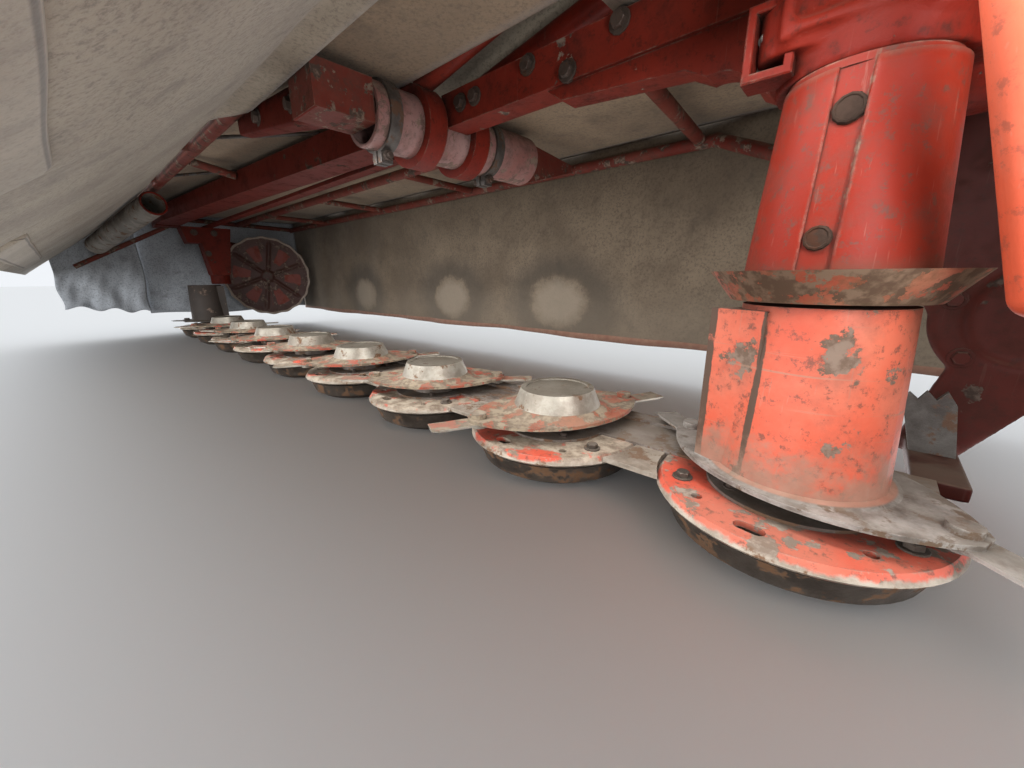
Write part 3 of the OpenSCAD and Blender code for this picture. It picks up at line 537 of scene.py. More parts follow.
# %% Steel finishes
steel("worn_sole", (0.12, 0.098, 0.080), (0.060, 0.047, 0.038), mud=0.5, top=0.5)
steel("grey_steel", (0.30, 0.26, 0.23), (0.17, 0.135, 0.115), mud=0.6, top=0.85)
steel("dark_steel", (0.13, 0.12, 0.11), (0.065, 0.055, 0.05), rough=0.45, mud=0.5, top=0.4,
      rust=(0.10, 0.055, 0.035))
steel("bare_steel", (0.50, 0.47, 0.43), (0.36, 0.33, 0.30), rough=0.30, mud=0.15, top=0.1)
steel("chrome_rod", (0.72, 0.73, 0.75), (0.66, 0.67, 0.69), rough=0.10, metallic=1.0, mud=0.0, top=0.12)
steel("pipe_grey", (0.30, 0.27, 0.235), (0.17, 0.145, 0.12), rough=0.6, metallic=0.1, mud=0.45, top=0.9)
print("finishes:", len(finish))

# %% [markdown]
# ## Coated canvas
# The canopy cloth is a coated fabric that was once light grey. Its inside has gone brownish
# and mottled, with mould near the seams. The outside has faded in the sun. A normal that looks
# up or back tells the outside of the cloth from its inside.

# %% Canvas finish
def canvas(name, clean, stained, mould, mottle=1.0, marks=None):
    """Coated cloth: clean colour with clouds of stain, small dark specks and a fine grain."""
    shader = new_material(name)
    place = object_place()
    stain = patchy(place, 3.2, 8.0, 0.62, 0.34, 0.66, 0.0, mottle)
    color = mixed(stain, clean, stained)
    blot = patchy(place, 11.0, 9.0, 0.72, 0.50, 0.70, 0.0, 0.55)
    color = mixed(blot, color, mould)
    fine = patchy(place, 130.0, 6.0, 0.8, 0.47, 0.63, 0.0, 0.62)
    color = mixed(fine, color, mould)
    if marks is not None:
        color = marks(place, color)
    relief = plus(times(noise(place, 420.0, 3.0), 0.10), times(noise(place, 7.0, 7.0), 1.6))
    bump = add_node("Bump", {"Height": relief, "Distance": 0.006, "Strength": 0.55})
    for key, value in {"Base Color": color, "Roughness": 0.82, "Sheen Weight": 0.15,
                       "Normal": bump.outputs[0]}.items():
        fill(shader.inputs[key], value)


def outside_of(place, color, axis):
    """The bleached colour where the surface looks out: up on the roof (Z), back on the rear curtain (Y)."""
    looks = facing()
    if axis == "Z":
        outer = stepped(looks["Z"], 0.1, 0.4)
    else:
        outer = stepped(looks["Y"], -0.4, -0.1, 1.0, 0.0)
    bleached = mixed(patchy(place, 2.6, 8.0, 0.64, 0.36, 0.64), (0.34, 0.315, 0.27), (0.24, 0.215, 0.175))
    spotted = patchy(place, 16.0, 9.0, 0.72, 0.52, 0.70, 0.0, 0.5)
    return mixed(outer, color, mixed(spotted, bleached, (0.12, 0.105, 0.08)))


def grid_place():
    """How far along and across its grid a point of the surface is, each from 0 to 1."""
    return axes_of(add_node("UVMap", uv_map="surface").outputs[0])


def stitches_and_shade(place, color):
    """A sewn strip: paler than the cloth, with a dark line near each long edge that is the row of stitches
    and painted shade where the strip meets the cloth.
    """
    from_middle = maths("ABSOLUTE", minus(grid_place()["Y"], 0.5))
    line = times(stepped(from_middle, 0.34, 0.38), stepped(from_middle, 0.40, 0.44, 1.0, 0.0))
    return mixed(times(line, 0.75), mixed(0.35, color, (0.42, 0.37, 0.31)), (0.07, 0.052, 0.040))


def roof_sides(place, color):
    return outside_of(place, color, "Z")


def hem_and_stains(place, color):
    """The rear curtain: a red hem at its foot, and three pale ovals with dark rims where wet crop hit it."""
    axes = axes_of(place)
    # an oval's own measure: 1 on an ellipse 0.165 m by 0.115 m round its centre at a height of 0.245 m
    dz = divided(minus(axes["Z"], 0.245), 0.115)
    away = [distance(divided(minus(axes["X"], x), 0.165), dz) for x in (0.885, 1.53, 2.40)]
    nearest = smaller(smaller(away[0], away[1]), away[2])
    ring = plus(nearest, times(minus(noise(place, 14.0, 8.0, 0.7), 0.5), 0.75))
    dark = times(stepped(ring, 0.75, 1.0), stepped(ring, 1.15, 2.0, 1.0, 0.0))
    color = mixed(times(dark, 0.75), color, (0.050, 0.038, 0.026))
    color = mixed(stepped(ring, 0.45, 0.95, 0.55, 0.0), color, (0.30, 0.25, 0.19))
    uneven = plus(axes["Z"], times(noise(place, 5.0), 0.12))
    color = mixed(stepped(uneven, 0.22, 0.40, 0.30, 0.0), color, (0.24, 0.195, 0.145))
    color = outside_of(place, color, "Y")
    hem = stepped(axes["Z"], 0.134, 0.136, 1.0, 0.0)
    hem_tones = mixed(noise(place, 40.0), (0.16, 0.050, 0.030), (0.36, 0.22, 0.15))
    return mixed(hem, color, hem_tones)


canvas("canvas", (0.36, 0.305, 0.232), (0.245, 0.198, 0.145), (0.115, 0.088, 0.062))
canvas("ceiling_canvas", (0.28, 0.198, 0.122), (0.19, 0.130, 0.078), (0.085, 0.057, 0.036), marks=roof_sides)
canvas("rear_canvas", (0.18, 0.135, 0.090), (0.110, 0.079, 0.050), (0.062, 0.044, 0.029),
       marks=hem_and_stains)
canvas("blue_canvas", (0.44, 0.47, 0.51), (0.28, 0.295, 0.315), (0.12, 0.122, 0.122), 0.8)
canvas("strip_canvas", (0.38, 0.325, 0.255), (0.26, 0.215, 0.160), (0.12, 0.092, 0.066), marks=stitches_and_shade)
print("canvas finishes: 5")

# %% [markdown]
# ## Finishes onto the solids
# Each solid names its slot in the imported record. A few solids get a finish of their own where
# the photo shows one, such as the dirty collar over the drum.

# %% Dress the solids
# the darker reds given here to the beams, the pillar and the carrier are painted shade
own_finish = {"drum_collar": "collar", "outer_beam": "dark_red", "outer_pillar": "dark_red",
              "beam_flat": "dark_red", "inner_carrier": "carrier_red", "inner_beam": "dull_red",
              "flap_pipe": "pipe_grey", "swath_arm": "dark_red", "swath_disc": "dark_red"}
for part in frame["record"]["subparts"]:
    mesh = solids[part["node"]].data
    mesh.materials.clear()
    mesh.materials.append(finish[own_finish.get(part["node"], part["material_slot"])])

# %% [markdown]
# ## Surfaces from two parameters
# New pieces are grids of points. A function gives the whole grid at once as an array, and this
# helper turns it into quads. A grid may close on itself.

# %% Grid helper
def add_piece(name, mesh, body, look):
    """Puts a mesh in the scene with the finish of that name. A piece given no body is left unattached."""
    made = bpy.data.objects.new(name, mesh)
    scene.collection.objects.link(made)
    mesh.materials.append(finish[look])
    if body is not None:
        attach(made, body)
    return made


def grid_piece(name, points, body, look, closed=False, keep=None, smooth=True):
    """points: rows by columns by 3; closed joins the last column to the first; keep marks the quads made."""
    rows, columns = points.shape[:2]
    i, j = np.meshgrid(np.arange(rows - 1), np.arange(columns - (not closed)), indexing="ij")
    i, j = i.ravel(), j.ravel()
    if keep is not None:
        chosen = keep.ravel()
        i, j = i[chosen], j[chosen]
    j2 = (j + 1) % columns
    faces = np.stack([i * columns + j, (i + 1) * columns + j, (i + 1) * columns + j2, i * columns + j2],
                     axis=1)
    mesh = bpy.data.meshes.new(name)
    mesh.from_pydata(points.reshape(-1, 3).tolist(), [], faces.tolist())
    mesh.validate()
    corner = np.zeros(len(mesh.loops), dtype=np.int32)
    mesh.loops.foreach_get("vertex_index", corner)
    flat = np.stack([(corner // columns) / (rows - 1), (corner % columns) / (columns - 1)], axis=1)
    mesh.uv_layers.new(name="surface").data.foreach_set("uv", flat.astype(np.float32).ravel())
    mesh.polygons.foreach_set("use_smooth", np.full(len(mesh.polygons), smooth))
    return add_piece(name, mesh, body, look)


def thicken(piece, thickness=0.003, offset=0.0):
    """Gives a sheet its thickness; a canvas sheet with its coating is 3 mm."""
    solid = piece.modifiers.new("thickness", "SOLIDIFY")
    solid.thickness = thickness
    solid.offset = offset


def merge_doubles(mesh, outward=False):
    """Merges points in one place, and turns the faces outward where asked."""
    shape = bmesh.new()
    shape.from_mesh(mesh)
    bmesh.ops.remove_doubles(shape, verts=shape.verts, dist=1e-6)
    if outward:
        bmesh.ops.recalc_face_normals(shape, faces=shape.faces)
    shape.to_mesh(mesh)
    shape.free()


print("helpers for surfaces are ready")

# %% [markdown]
# ## The canopy cloth
# The roof canvas is laid over three rails and hangs a little between them. The curtains hang
# from its edges and wave slightly towards their free lower edge, because nothing holds it.

# %% Roof
low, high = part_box("roof_canvas")
hood_low, hood_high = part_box("roof_hood")
# the roof has an opening under the hood
near, far = 0.340, 1.000
back, front = hood_low.y + 0.005, hood_high.y - 0.005
x_lines = np.unique(np.concatenate([np.linspace(low.x, near, 14), np.linspace(near, far, 20),
                                    np.linspace(far, high.x, 60)]))
y_lines = np.unique(np.concatenate([np.linspace(low.y, back, 18), np.linspace(back, front, 9),
                                    np.linspace(front, high.y, 12)]))
X, Y = np.meshgrid(x_lines, y_lines, indexing="ij")
# height = a plane less a shallow cosine trough between the rails, and a ripple along the bar
rail_y = -0.32
behind = np.sin(np.pi * (Y + 0.68).clip(0, 0.36) / 0.36)
trough = np.where(Y < rail_y, behind, np.sin(np.pi * (Y - rail_y).clip(0, 0.56) / 0.56))
Z = (low.z + high.z) / 2 - 0.0015 * trough * (1 + 0.5 * np.sin(5.3 * X))
middle_x, middle_y = (X[1:, 1:] + X[:-1, :-1]) / 2, (Y[1:, 1:] + Y[:-1, :-1]) / 2
outside = ~((middle_x > near) & (middle_x < far) & (middle_y > back) & (middle_y < front))
roof = grid_piece("roof_cloth", np.stack([X, Y, Z], axis=2), "unit", "ceiling_canvas", keep=outside)
thicken(roof)
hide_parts("roof_canvas")
print("roof:", len(roof.data.polygons), "faces")

# %% Hood over the arm
low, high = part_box("roof_hood")
along = np.linspace(0, 1, 34)[:, None]
angle = np.linspace(0, np.pi, 41)[None, :]
# cross-section: a superellipse, y = c - w|cos a|^0.35, z = base + h(along)|sin a|^0.35
height = np.where(along < 0.94, 0.183 - 0.155 * along,
                  0.0373 * np.sqrt(np.clip(1 - ((along - 0.94) / 0.06) ** 2, 0, 1)))
X = low.x + (high.x - low.x) * along + 0 * angle
half_width = (high.y - low.y - 0.006) / 2
Y = (low.y + high.y) / 2 - half_width * np.sign(np.cos(angle)) * np.abs(np.cos(angle)) ** 0.35 + 0 * along
Z = 0.7575 + height * np.abs(np.sin(angle)) ** 0.35 - 0.006 * np.sin(np.pi * along) * np.sin(angle)
hood = grid_piece("hood_cloth", np.stack([X, Y, Z], axis=2), "unit", "canvas")
thicken(hood)
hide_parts("roof_hood")
print("hood:", len(hood.data.polygons), "faces")

# %% Rear curtain
low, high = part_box("rear_curtain")
u = np.linspace(0, 1, 150)[:, None]
v = np.linspace(0, 1, 26)[None, :]
X = low.x + (high.x - low.x) * u + 0 * v
fall = 1 - v
# y = plane + waves along the bar that grow towards the free lower edge
waves = 0.008 * np.sin(9.0 * X + 0.6) + 0.004 * np.sin(23.0 * X + 2.0)
Y = (low.y + high.y) / 2 + fall ** 1.4 * waves + 0.003 * np.sin(14 * X + 5 * v)
Z = low.z + (high.z - low.z) * v + 0.004 * fall * np.sin(6.0 * X + 1.0)
curtain = grid_piece("rear_cloth", np.stack([X, Y, Z], axis=2), "unit", "rear_canvas")
thicken(curtain)
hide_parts("rear_curtain")
print("rear curtain:", len(curtain.data.polygons), "faces")

# %% End curtains
def end_cloth(name, node, outline_low, y_range, x, wave, look):
    """A curtain across one end: x = plane + waves that fade upward; its lower edge is a function of y."""
    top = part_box(node)[1].z
    y = np.linspace(*y_range, 44)[:, None]
    t = np.linspace(0, 1, 26)[None, :]
    foot = outline_low(y)
    Z = foot + (top - foot) * t
    X = x + (1 - t) ** 1.3 * wave * (np.sin(13 * y + 2.5 * t) + 0.5 * np.sin(29 * y + 9 * t + 1.0)) + 0 * Z
    made = grid_piece(name, np.stack([X, y + 0 * Z, Z], axis=2), "unit", look)
    thicken(made)
    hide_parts(node)


low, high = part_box("outer_curtain")
end_cloth("outer_cloth", "outer_curtain", lambda y: low.z + 0.01 * np.sin(8 * y), (low.y, high.y),
          (low.x + high.x) / 2 - 0.004, 0.014, "blue_canvas")
low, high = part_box("inner_curtain")
end_cloth("inner_cloth", "inner_curtain",
          lambda y: np.interp(y, [-0.47, -0.25, 0.22, 0.245], [0.757, 0.120, 0.160, 0.757]),
          (-0.468, 0.243), (low.x + high.x) / 2, 0.004, "canvas")
print("end curtains: 2")

# %% [markdown]
# ## The front flap
# Its cloth hangs under a tube frame that slopes down ahead of the rotors, and runs on under the
# front rail at the tractor's end, so it bends where the flap is hinged. From below it is the
# biggest surface in the picture. It bellies a little between the ribs of the frame.

# %% Flap cloth
slope = math.radians(38)
hinge_y, hinge_z = 0.279, 0.736
# distances down the slope: to the frame's first tube, to the cloth's lower edge, and between them
first_tube, lower_edge, span = 0.012, 0.564, 0.552


def belly_of(along, down):
    """A half wave in each bay along the flap, times one half wave down the slope."""
    across = np.sin(np.pi * (down.clip(first_tube, lower_edge) - first_tube) / span)
    return np.abs(np.sin(np.pi * (along + 0.296) / 1.846)) ** 0.7 * across


def on_slope(down, sag):
    """y and z: the distance down the slope and the sag below the frame, turned by the slope's angle."""
    return (hinge_y + down * math.cos(slope) - sag * math.sin(slope),
            hinge_z - down * math.sin(slope) - sag * math.cos(slope))


def bend_at_hinge(piece):
    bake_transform(piece)


along = np.linspace(-0.310, 3.410, 150)[:, None]
part = np.linspace(0, 1, 46)[None, :]
# distance down the slope: near the tractor from under the rail, which is less than zero, and
# elsewhere from the frame's first tube
start = np.interp(along, [-0.31, 1.08, 1.22, 3.41], [-0.040, -0.040, first_tube, first_tube])
down = start + (lower_edge - start) * part
sag = 0.0098 + 0.009 * belly_of(along, down) + 0.0015 * np.sin(17 * along + 6 * down) * np.sin(np.pi * part)
slope_y, slope_z = on_slope(down, sag)
# above the first tube the cloth runs level under the rail: y goes on, z eases to 0.7145
level = np.clip((first_tube - down) / 0.052, 0, 1)
Y = np.where(down < first_tube, 0.2825 - (first_tube - down) * 0.89, slope_y)
Z = np.where(down < first_tube, 0.7209 - 0.0064 * np.sin(level * np.pi / 2), slope_z)
flap = grid_piece("flap_cloth", np.stack([along + 0 * Y, Y, Z], axis=2), None, "canvas")
thicken(flap)
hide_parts("flap_canvas")
bend_at_hinge(flap)

# %% [markdown]
# Two strips of doubled canvas are sewn to the inside of the flap. They follow its surface two millimetres
# below it, with rounded ends, and a dark line near their edges is the row of stitches and painted shade where
# the strip meets the cloth.

# %% Sewn strips
def under_flap(along, down, drop):
    """A point below the flap's cloth: the same formula as the cloth, lowered square to it by drop."""
    sag = 0.0098 + 0.009 * belly_of(along, down) + 0.0015 * np.sin(17 * along + 6 * down) + drop
    return np.stack([along + 0 * down, *on_slope(down, sag)], axis=2)


def sewn_strip(name, x_range, down_range):
    """A strip that bulges down by up to 7.5 mm in its middle and lies against the cloth at its edge."""
    u = np.linspace(-1, 1, 90)[:, None]
    v = np.linspace(-1, 1, 14)[None, :]
    half_x, half_d = (x_range[1] - x_range[0]) / 2, (down_range[1] - down_range[0]) / 2
    # rounded ends: the strip narrows over its last 25 mm as the square root of one less the square
    end = np.clip((np.abs(u) * half_x - (half_x - 0.025)) / 0.025, 0, 1)
    narrow = np.sqrt(1 - (0.93 * end) ** 2)
    x = (x_range[0] + x_range[1]) / 2 + half_x * u + 0 * v
    d = (down_range[0] + down_range[1]) / 2 + half_d * narrow * v
    edge = np.maximum(np.abs(v), end) ** 10
    made = grid_piece(name, under_flap(x, d, 0.0075 - 0.0058 * edge), None, "strip_canvas")
    thicken(made, 0.0015)
    bend_at_hinge(made)
    return made


strips = [sewn_strip("sewn_strip_near", (-0.25, 0.650), (0.402, 0.480)),
          sewn_strip("sewn_strip_far", (1.28, 2.45), (0.455, 0.535))]
# the cloth is 0.604 m deep over its first 1.46 m, where it runs on under the rail, and 0.552 m beyond
print("strips:", [strip.name for strip in strips])

# %% [markdown]
# At the outer end a crumpled side cloth hangs from the flap and closes the corner ahead of the end curtain.
# Its top edge follows the flap's cloth.

# %% Side cloth of the flap
u = np.linspace(0, 1, 40)[:, None]
v = np.linspace(0, 1, 40)[None, :]
side_y = 0.240 + 0.375 * u
top_edge = under_flap(3.366 + 0 * u, ((side_y - hinge_y) / math.cos(slope)).clip(0.025, None), 0.004)
drop = top_edge[..., 2] - (0.150 + 0.05 * u + 0.012 * np.sin(17 * u))
folds = 0.012 * np.sin(15 * u + 4 * v) + 0.006 * np.sin(6 * u + 17 * v) + 0.003 * np.sin(37 * u - 13 * v)
Y = side_y + 0.010 * v * np.sin(9 * v + 3 * u)
points = np.stack([top_edge[..., 0] + v ** 0.8 * folds, Y, top_edge[..., 2] - drop * v], axis=2)
side_cloth = grid_piece("flap_side_cloth", points, None, "blue_canvas")
thicken(side_cloth)
bend_at_hinge(side_cloth)

# %% [markdown]
# ## Bolts and plugs
# A bolt head is a short six-sided prism on a round washer. One profile is turned round twelve points, where a
# factor makes six corners of the circle, and the whole bolt is then copied to every spot by one array sum.
# All the bolts of one row of spots are one mesh.

# %% Fasteners
round_steps = np.arange(12) * np.pi / 6
six_sided = math.cos(np.pi / 6) / np.cos(round_steps % (np.pi / 3) - np.pi / 6)
# rows of height, radius and whether the ring has six corners
bolt_rings = np.array([(-0.3, 1.45, 0), (0.22, 1.45, 0), (0.26, 1.38, 0), (0.26, 1.0, 1), (0.86, 1.0, 1),
                       (1.0, 0.84, 0)])
nut_rings = np.array([(-0.3, 1.0, 1), (0.75, 1.0, 1), (0.85, 0.88, 0), (0.85, 0.62, 0), (1.35, 0.60, 0),
                      (1.45, 0.50, 0)])
plug_rings = np.array([(-0.4, 1.0, 0), (0.18, 1.0, 0), (0.30, 0.93, 0), (0.34, 0.80, 0), (0.26, 0.72, 0),
                       (0.30, 0.40, 0)])


def fasteners(name, spots, size, body="unit", look="old_bolt", rings=bolt_rings):
    """spots: rows of a place and the way that the head stands out; size: the head's corner radius."""
    spots = np.asarray(spots, float)
    centre, out = spots[:, :3], spots[:, 3:] / np.linalg.norm(spots[:, 3:], axis=1, keepdims=True)
    helper = np.where(np.abs(out[:, 2:3]) < 0.9, [[0.0, 0.0, 1.0]], [[1.0, 0.0, 0.0]])
    side = np.cross(helper, out)
    side /= np.linalg.norm(side, axis=1, keepdims=True)
    third = np.cross(out, side)
    radius = size * rings[:, 1:2] * np.where(rings[:, 2:3] > 0, six_sided[None, :], 1.0)
    height = size * rings[:, :1] + 0 * radius
    flat = np.stack([radius * np.cos(round_steps), radius * np.sin(round_steps), height], axis=2)[None]
    centre, side, third, out = (a[:, None, None] for a in (centre, side, third, out))
    points = centre + flat[..., :1] * side + flat[..., 1:2] * third + flat[..., 2:] * out
    count = len(rings)
    i, j = np.meshgrid(np.arange(count - 1), np.arange(12), indexing="ij")
    i, j, k = i.ravel(), j.ravel(), (j.ravel() + 1) % 12
    quads = np.stack([i * 12 + j, i * 12 + k, (i + 1) * 12 + k, (i + 1) * 12 + j], axis=1)
    caps = np.stack([np.arange(12) + (count - 1) * 12, np.arange(12)[::-1]])
    shift = (np.arange(len(spots)) * count * 12)[:, None, None]
    faces = (quads + shift).reshape(-1, 4).tolist() + (caps + shift).reshape(-1, 12).tolist()
    mesh = bpy.data.meshes.new(name)
    mesh.from_pydata(points.reshape(-1, 3).tolist(), [], faces)
    add_piece(name, mesh, body, look)


def on_circle(centre, radius, angles, first, second, out):
    """Spots on a circle in the plane of two directions; angles in degrees."""
    a = np.radians(np.asarray(angles, float))[:, None]
    places = np.array(centre) + radius * (np.cos(a) * np.array(first) + np.sin(a) * np.array(second))
    return np.hstack([places, np.repeat([out], len(a), axis=0)])


steel("old_bolt", (0.085, 0.060, 0.048), (0.042, 0.029, 0.023), rough=0.55, metallic=0.3, mud=0.5, top=0.3,
      rust=(0.07, 0.034, 0.02))
steel("plug_rust", (0.040, 0.024, 0.017), (0.018, 0.011, 0.008), rough=0.75, metallic=0.0, mud=0.5, top=0.0,
      rust=(0.045, 0.020, 0.012), gloss=0.08)
rotor_x = np.arange(9) * rotor_pitch
across, forward, upward = (1, 0, 0), (0, 1, 0), (0, 0, 1)
spots = np.vstack([on_circle((x, 0, 0.068), 0.134, (28, 152), across, forward, upward) for x in rotor_x])
fasteners("guard_bolts", spots, 0.0095, "unit", "worn_sole")
spots = np.vstack([on_circle((x, 0, 0.072), 0.081, (45, 135, 225, 315), across, forward, upward)
                   for x in rotor_x])
fasteners("bearing_bolts", spots, 0.0065)
spots = [(x + rotor_pitch / 2, -0.114, 0.078, 0, 0, 1) for x in rotor_x[:-1]]
fasteners("bar_bolts", spots, 0.0072, "unit", "grey_steel")
print("bolts on the bar:", (2 + 4) * len(rotor_x) + len(spots))

# %% Bolts on the frame
frame_spots = [(0.510, -0.061, 0.728, 0, 1, 0), (0.324, -0.061, 0.730, 0, 1, 0),
               (0.420, -0.061, 0.692, 0, 1, 0), (0.655, -0.061, 0.715, 0, 1, 0),
               (0.700, -0.061, 0.715, 0, 1, 0), (0.16, -0.061, 0.722, 0, 1, 0),
               (3.060, -0.10, 0.62, -1, 0, 0), (3.060, 0.00, 0.62, -1, 0, 0), (3.060, -0.05, 0.50, -1, 0, 0)]
fasteners("beam_bolts", frame_spots, 0.0125)
strap_spots = [(0.817 + s * 0.017, y, 0.604, s, 0, 0) for s in (-1, 1) for y in (0.070, -0.240)]
fasteners("strap_bolts", strap_spots, 0.0115, rings=nut_rings)
spots = on_circle((-0.220, -0.070, 0.625), 0.049, range(0, 360, 60), forward, upward, (-1, 0, 0))
fasteners("input_bolts", spots, 0.0065)
spots = on_circle((-0.230, -0.336, 0.282), 0.094, range(15, 375, 60), across, upward, forward)
fasteners("carrier_bolts", spots, 0.011, "unit", "carrier_red")
plug_spots = np.array([(0.0045, 0.0709, 0.499, 0.08, 0.99, 0.085),
                       (0.0100, 0.0806, 0.383, 0.12, 0.99, 0.085)])
fasteners("upper_plug", plug_spots[:1], 0.0138, look="plug_rust", rings=plug_rings)
fasteners("lower_plug", plug_spots[1:], 0.0125, look="plug_rust", rings=plug_rings)
head_spots = [(x, y, z, s, 0, 0) for s, x in ((1, -0.8825), (-1, -1.6175)) for y in (0.790, 0.818)
              for z in (0.468, 0.532)]
head_spots += [(x, 0.715, z, s, 0, 0) for s, x in ((1, -1.210), (-1, -1.290)) for z in (0.575, 0.640)]
head_spots += [(-1.00, y, z, 0, s, 0) for s, y in ((1, 0.039), (-1, -0.225)) for z in (0.90, 0.945)]
fasteners("headstock_bolts", head_spots, 0.0125, "headstock")
gear_face = (-1.250, 0.360, 0.670)
spots = np.vstack([on_circle(gear_face, 0.062, range(0, 360, 60), across, upward, forward),
                   on_circle(gear_face, 0.112, (38, 142, 218, 322), across, upward, forward)])
fasteners("gear_case_bolts", spots, 0.009, "headstock")
fasteners("lift_pin_nuts", [(-0.750, 0.055, 1.027, 0, 1, 0), (-0.750, -0.241, 1.027, 0, -1, 0)], 0.019,
          "headstock", rings=nut_rings)
turned_back = math.radians(20)
axle = np.array([math.cos(turned_back), -math.sin(turned_back), 0.0])
level_side = np.array([math.sin(turned_back), math.cos(turned_back), 0.0])
swath_centre = np.array([3.187, -0.400, 0.365])
spots = on_circle(swath_centre - 0.0215 * axle, 0.022, range(0, 360, 72), level_side, upward, -axle)
fasteners("swath_hub_bolts", spots, 0.006, "swath")

# %% [markdown]
# ## The swath disc
# It is a pressed disc with a wavy rim that is rubbed pale, six ribs and a small hub. Radius and
# angle are its two parameters, and every feature is a term added to its height.

# %% Swath disc
u = np.linspace(0, 1, 56)[:, None]
theta = (np.arange(216) * 2 * np.pi / 216)[None, :]
radius = 0.266 * u * (1 - 0.022 * u ** 8 * (0.5 - 0.5 * np.cos(18 * theta)))
from_rib = np.abs((theta + np.pi / 6 - 0.17) % (np.pi / 3) - np.pi / 6) * radius
rim = np.clip((u - 0.78) / 0.22, 0, 1)
height = -0.004 - 0.011 * rim ** 1.4 - 0.0035 * rim * np.cos(18 * theta)
rib = 0.011 * np.exp(-(from_rib / 0.009) ** 2)
height = height - rib * np.clip(u * 9 - 0.9, 0, 1) * np.clip((0.93 - u) * 9, 0, 1)
height = height - 0.015 / (1 + np.exp((radius - 0.036) / 0.0025)) + 0.004 * np.sin(np.pi * u) ** 2
flat_x, flat_y = radius * np.cos(theta), radius * np.sin(theta)
points = swath_centre + flat_y[..., None] * level_side - flat_x[..., None] * np.array(upward)
points = points + height[..., None] * axle

shader = new_material("swath_face")
place = object_place()
# along the grid is from the hub to the rim, and across it is round the disc
polar = grid_place()
marks = wear_masks(0.6, 0.8, 0.2)
coat = paint_coat(place, marks, (0.055, 0.018, 0.013), (0.10, 0.045, 0.034), chips=0.45, film=0.4,
                  rough=0.5, size=14.0)
# six red patches: a cosine round the disc, kept between two radii
round_wave = maths("COSINE", plus(times(polar["Y"], 12 * math.pi), math.pi - 1.02))
between = times(stepped(polar["X"], 0.32, 0.42), stepped(polar["X"], 0.74, 0.84, 1.0, 0.0))
patch = ragged_by(times(stepped(round_wave, 0.0, 0.45), between), place, 26.0, 0.48)
tint(coat, times(patch, 0.8), (0.20, 0.035, 0.022))
pale = ragged_by(stepped(polar["X"], 0.925, 0.965), place, 34.0, 0.40)
tint(coat, pale, (0.30, 0.235, 0.19))
lay_on(shader, coat)
disc = grid_piece("swath_plate", points, "swath", "swath_face", closed=True)
merge_doubles(disc.data)
thicken(disc, 0.004)
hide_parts("swath_disc")
print("swath disc:", len(disc.data.polygons), "faces")

# %% [markdown]
# ## Castings
# The gearbox and the carrier are iron castings, whose edges are round and run into each other.
# Their solids have sharp edges, so a copy of each is merged, rebuilt from small cubes of one
# size and smoothed, which rounds every edge by the same few millimetres.

# %% Castings
def box_mesh(low, high):
    """The eight corners and six faces of a box, faces outward."""
    corner = np.array([[x, y, z] for x in (low[0], high[0]) for y in (low[1], high[1])
                       for z in (low[2], high[2])], float)
    return corner, [(0, 1, 3, 2), (4, 6, 7, 5), (0, 4, 5, 1), (2, 3, 7, 6), (0, 2, 6, 4), (1, 5, 7, 3)]


def cast_copy(node, name, look, boxes, voxel, rounds):
    """A solid of the unit and some boxes, rebuilt from cubes of the voxel's size and smoothed in rounds."""
    shape = bmesh.new()
    shape.from_mesh(solids[node].data)
    bmesh.ops.remove_doubles(shape, verts=shape.verts, dist=1e-5)
    for corners, sides in boxes:
        added = [shape.verts.new(c) for c in corners]
        for side in sides:
            shape.faces.new([added[i] for i in side])
    rough = bpy.data.meshes.new(name + "_rough")
    shape.to_mesh(rough)
    shape.free()
    worker = bpy.data.objects.new(name + "_rough", rough)
    scene.collection.objects.link(worker)
    remesh = worker.modifiers.new("cubes", "REMESH")
    remesh.mode = "VOXEL"
    remesh.voxel_size = voxel
    smooth = worker.modifiers.new("smooth", "SMOOTH")
    smooth.factor, smooth.iterations = 0.5, rounds
    bpy.context.view_layer.update()
    mesh = bpy.data.meshes.new_from_object(worker.evaluated_get(bpy.context.evaluated_depsgraph_get()))
    bpy.data.objects.remove(worker)
    mesh.name = name
    mesh.materials.clear()
    mesh.polygons.foreach_set("use_smooth", np.ones(len(mesh.polygons), dtype=bool))
    made = add_piece(name, mesh, "unit", look)
    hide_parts(node)
    return made


gear_ribs = [box_mesh((x, 0.058, 0.575), (x + 0.012, 0.070, 0.722)) for x in (-0.045, 0.062)]
gear_ribs += [box_mesh((-0.045, 0.058, z), (0.074, 0.068, z + 0.010)) for z in (0.580, 0.712)]
castings = [cast_copy("gearbox", "gear_casting", "cast_red", gear_ribs, 0.004, 6),
            cast_copy("inner_carrier", "carrier_casting", "carrier_red", [], 0.005, 5)]
print("castings:", {o.name: len(o.data.polygons) for o in castings})

# %% [markdown]
# ## Thin rods, pipe rim and weld beads
# All of these are a circle carried along a path. The helper works out a frame for each point of
# the path from its direction, and a weld bead is the same tube with a ripple in its radius.

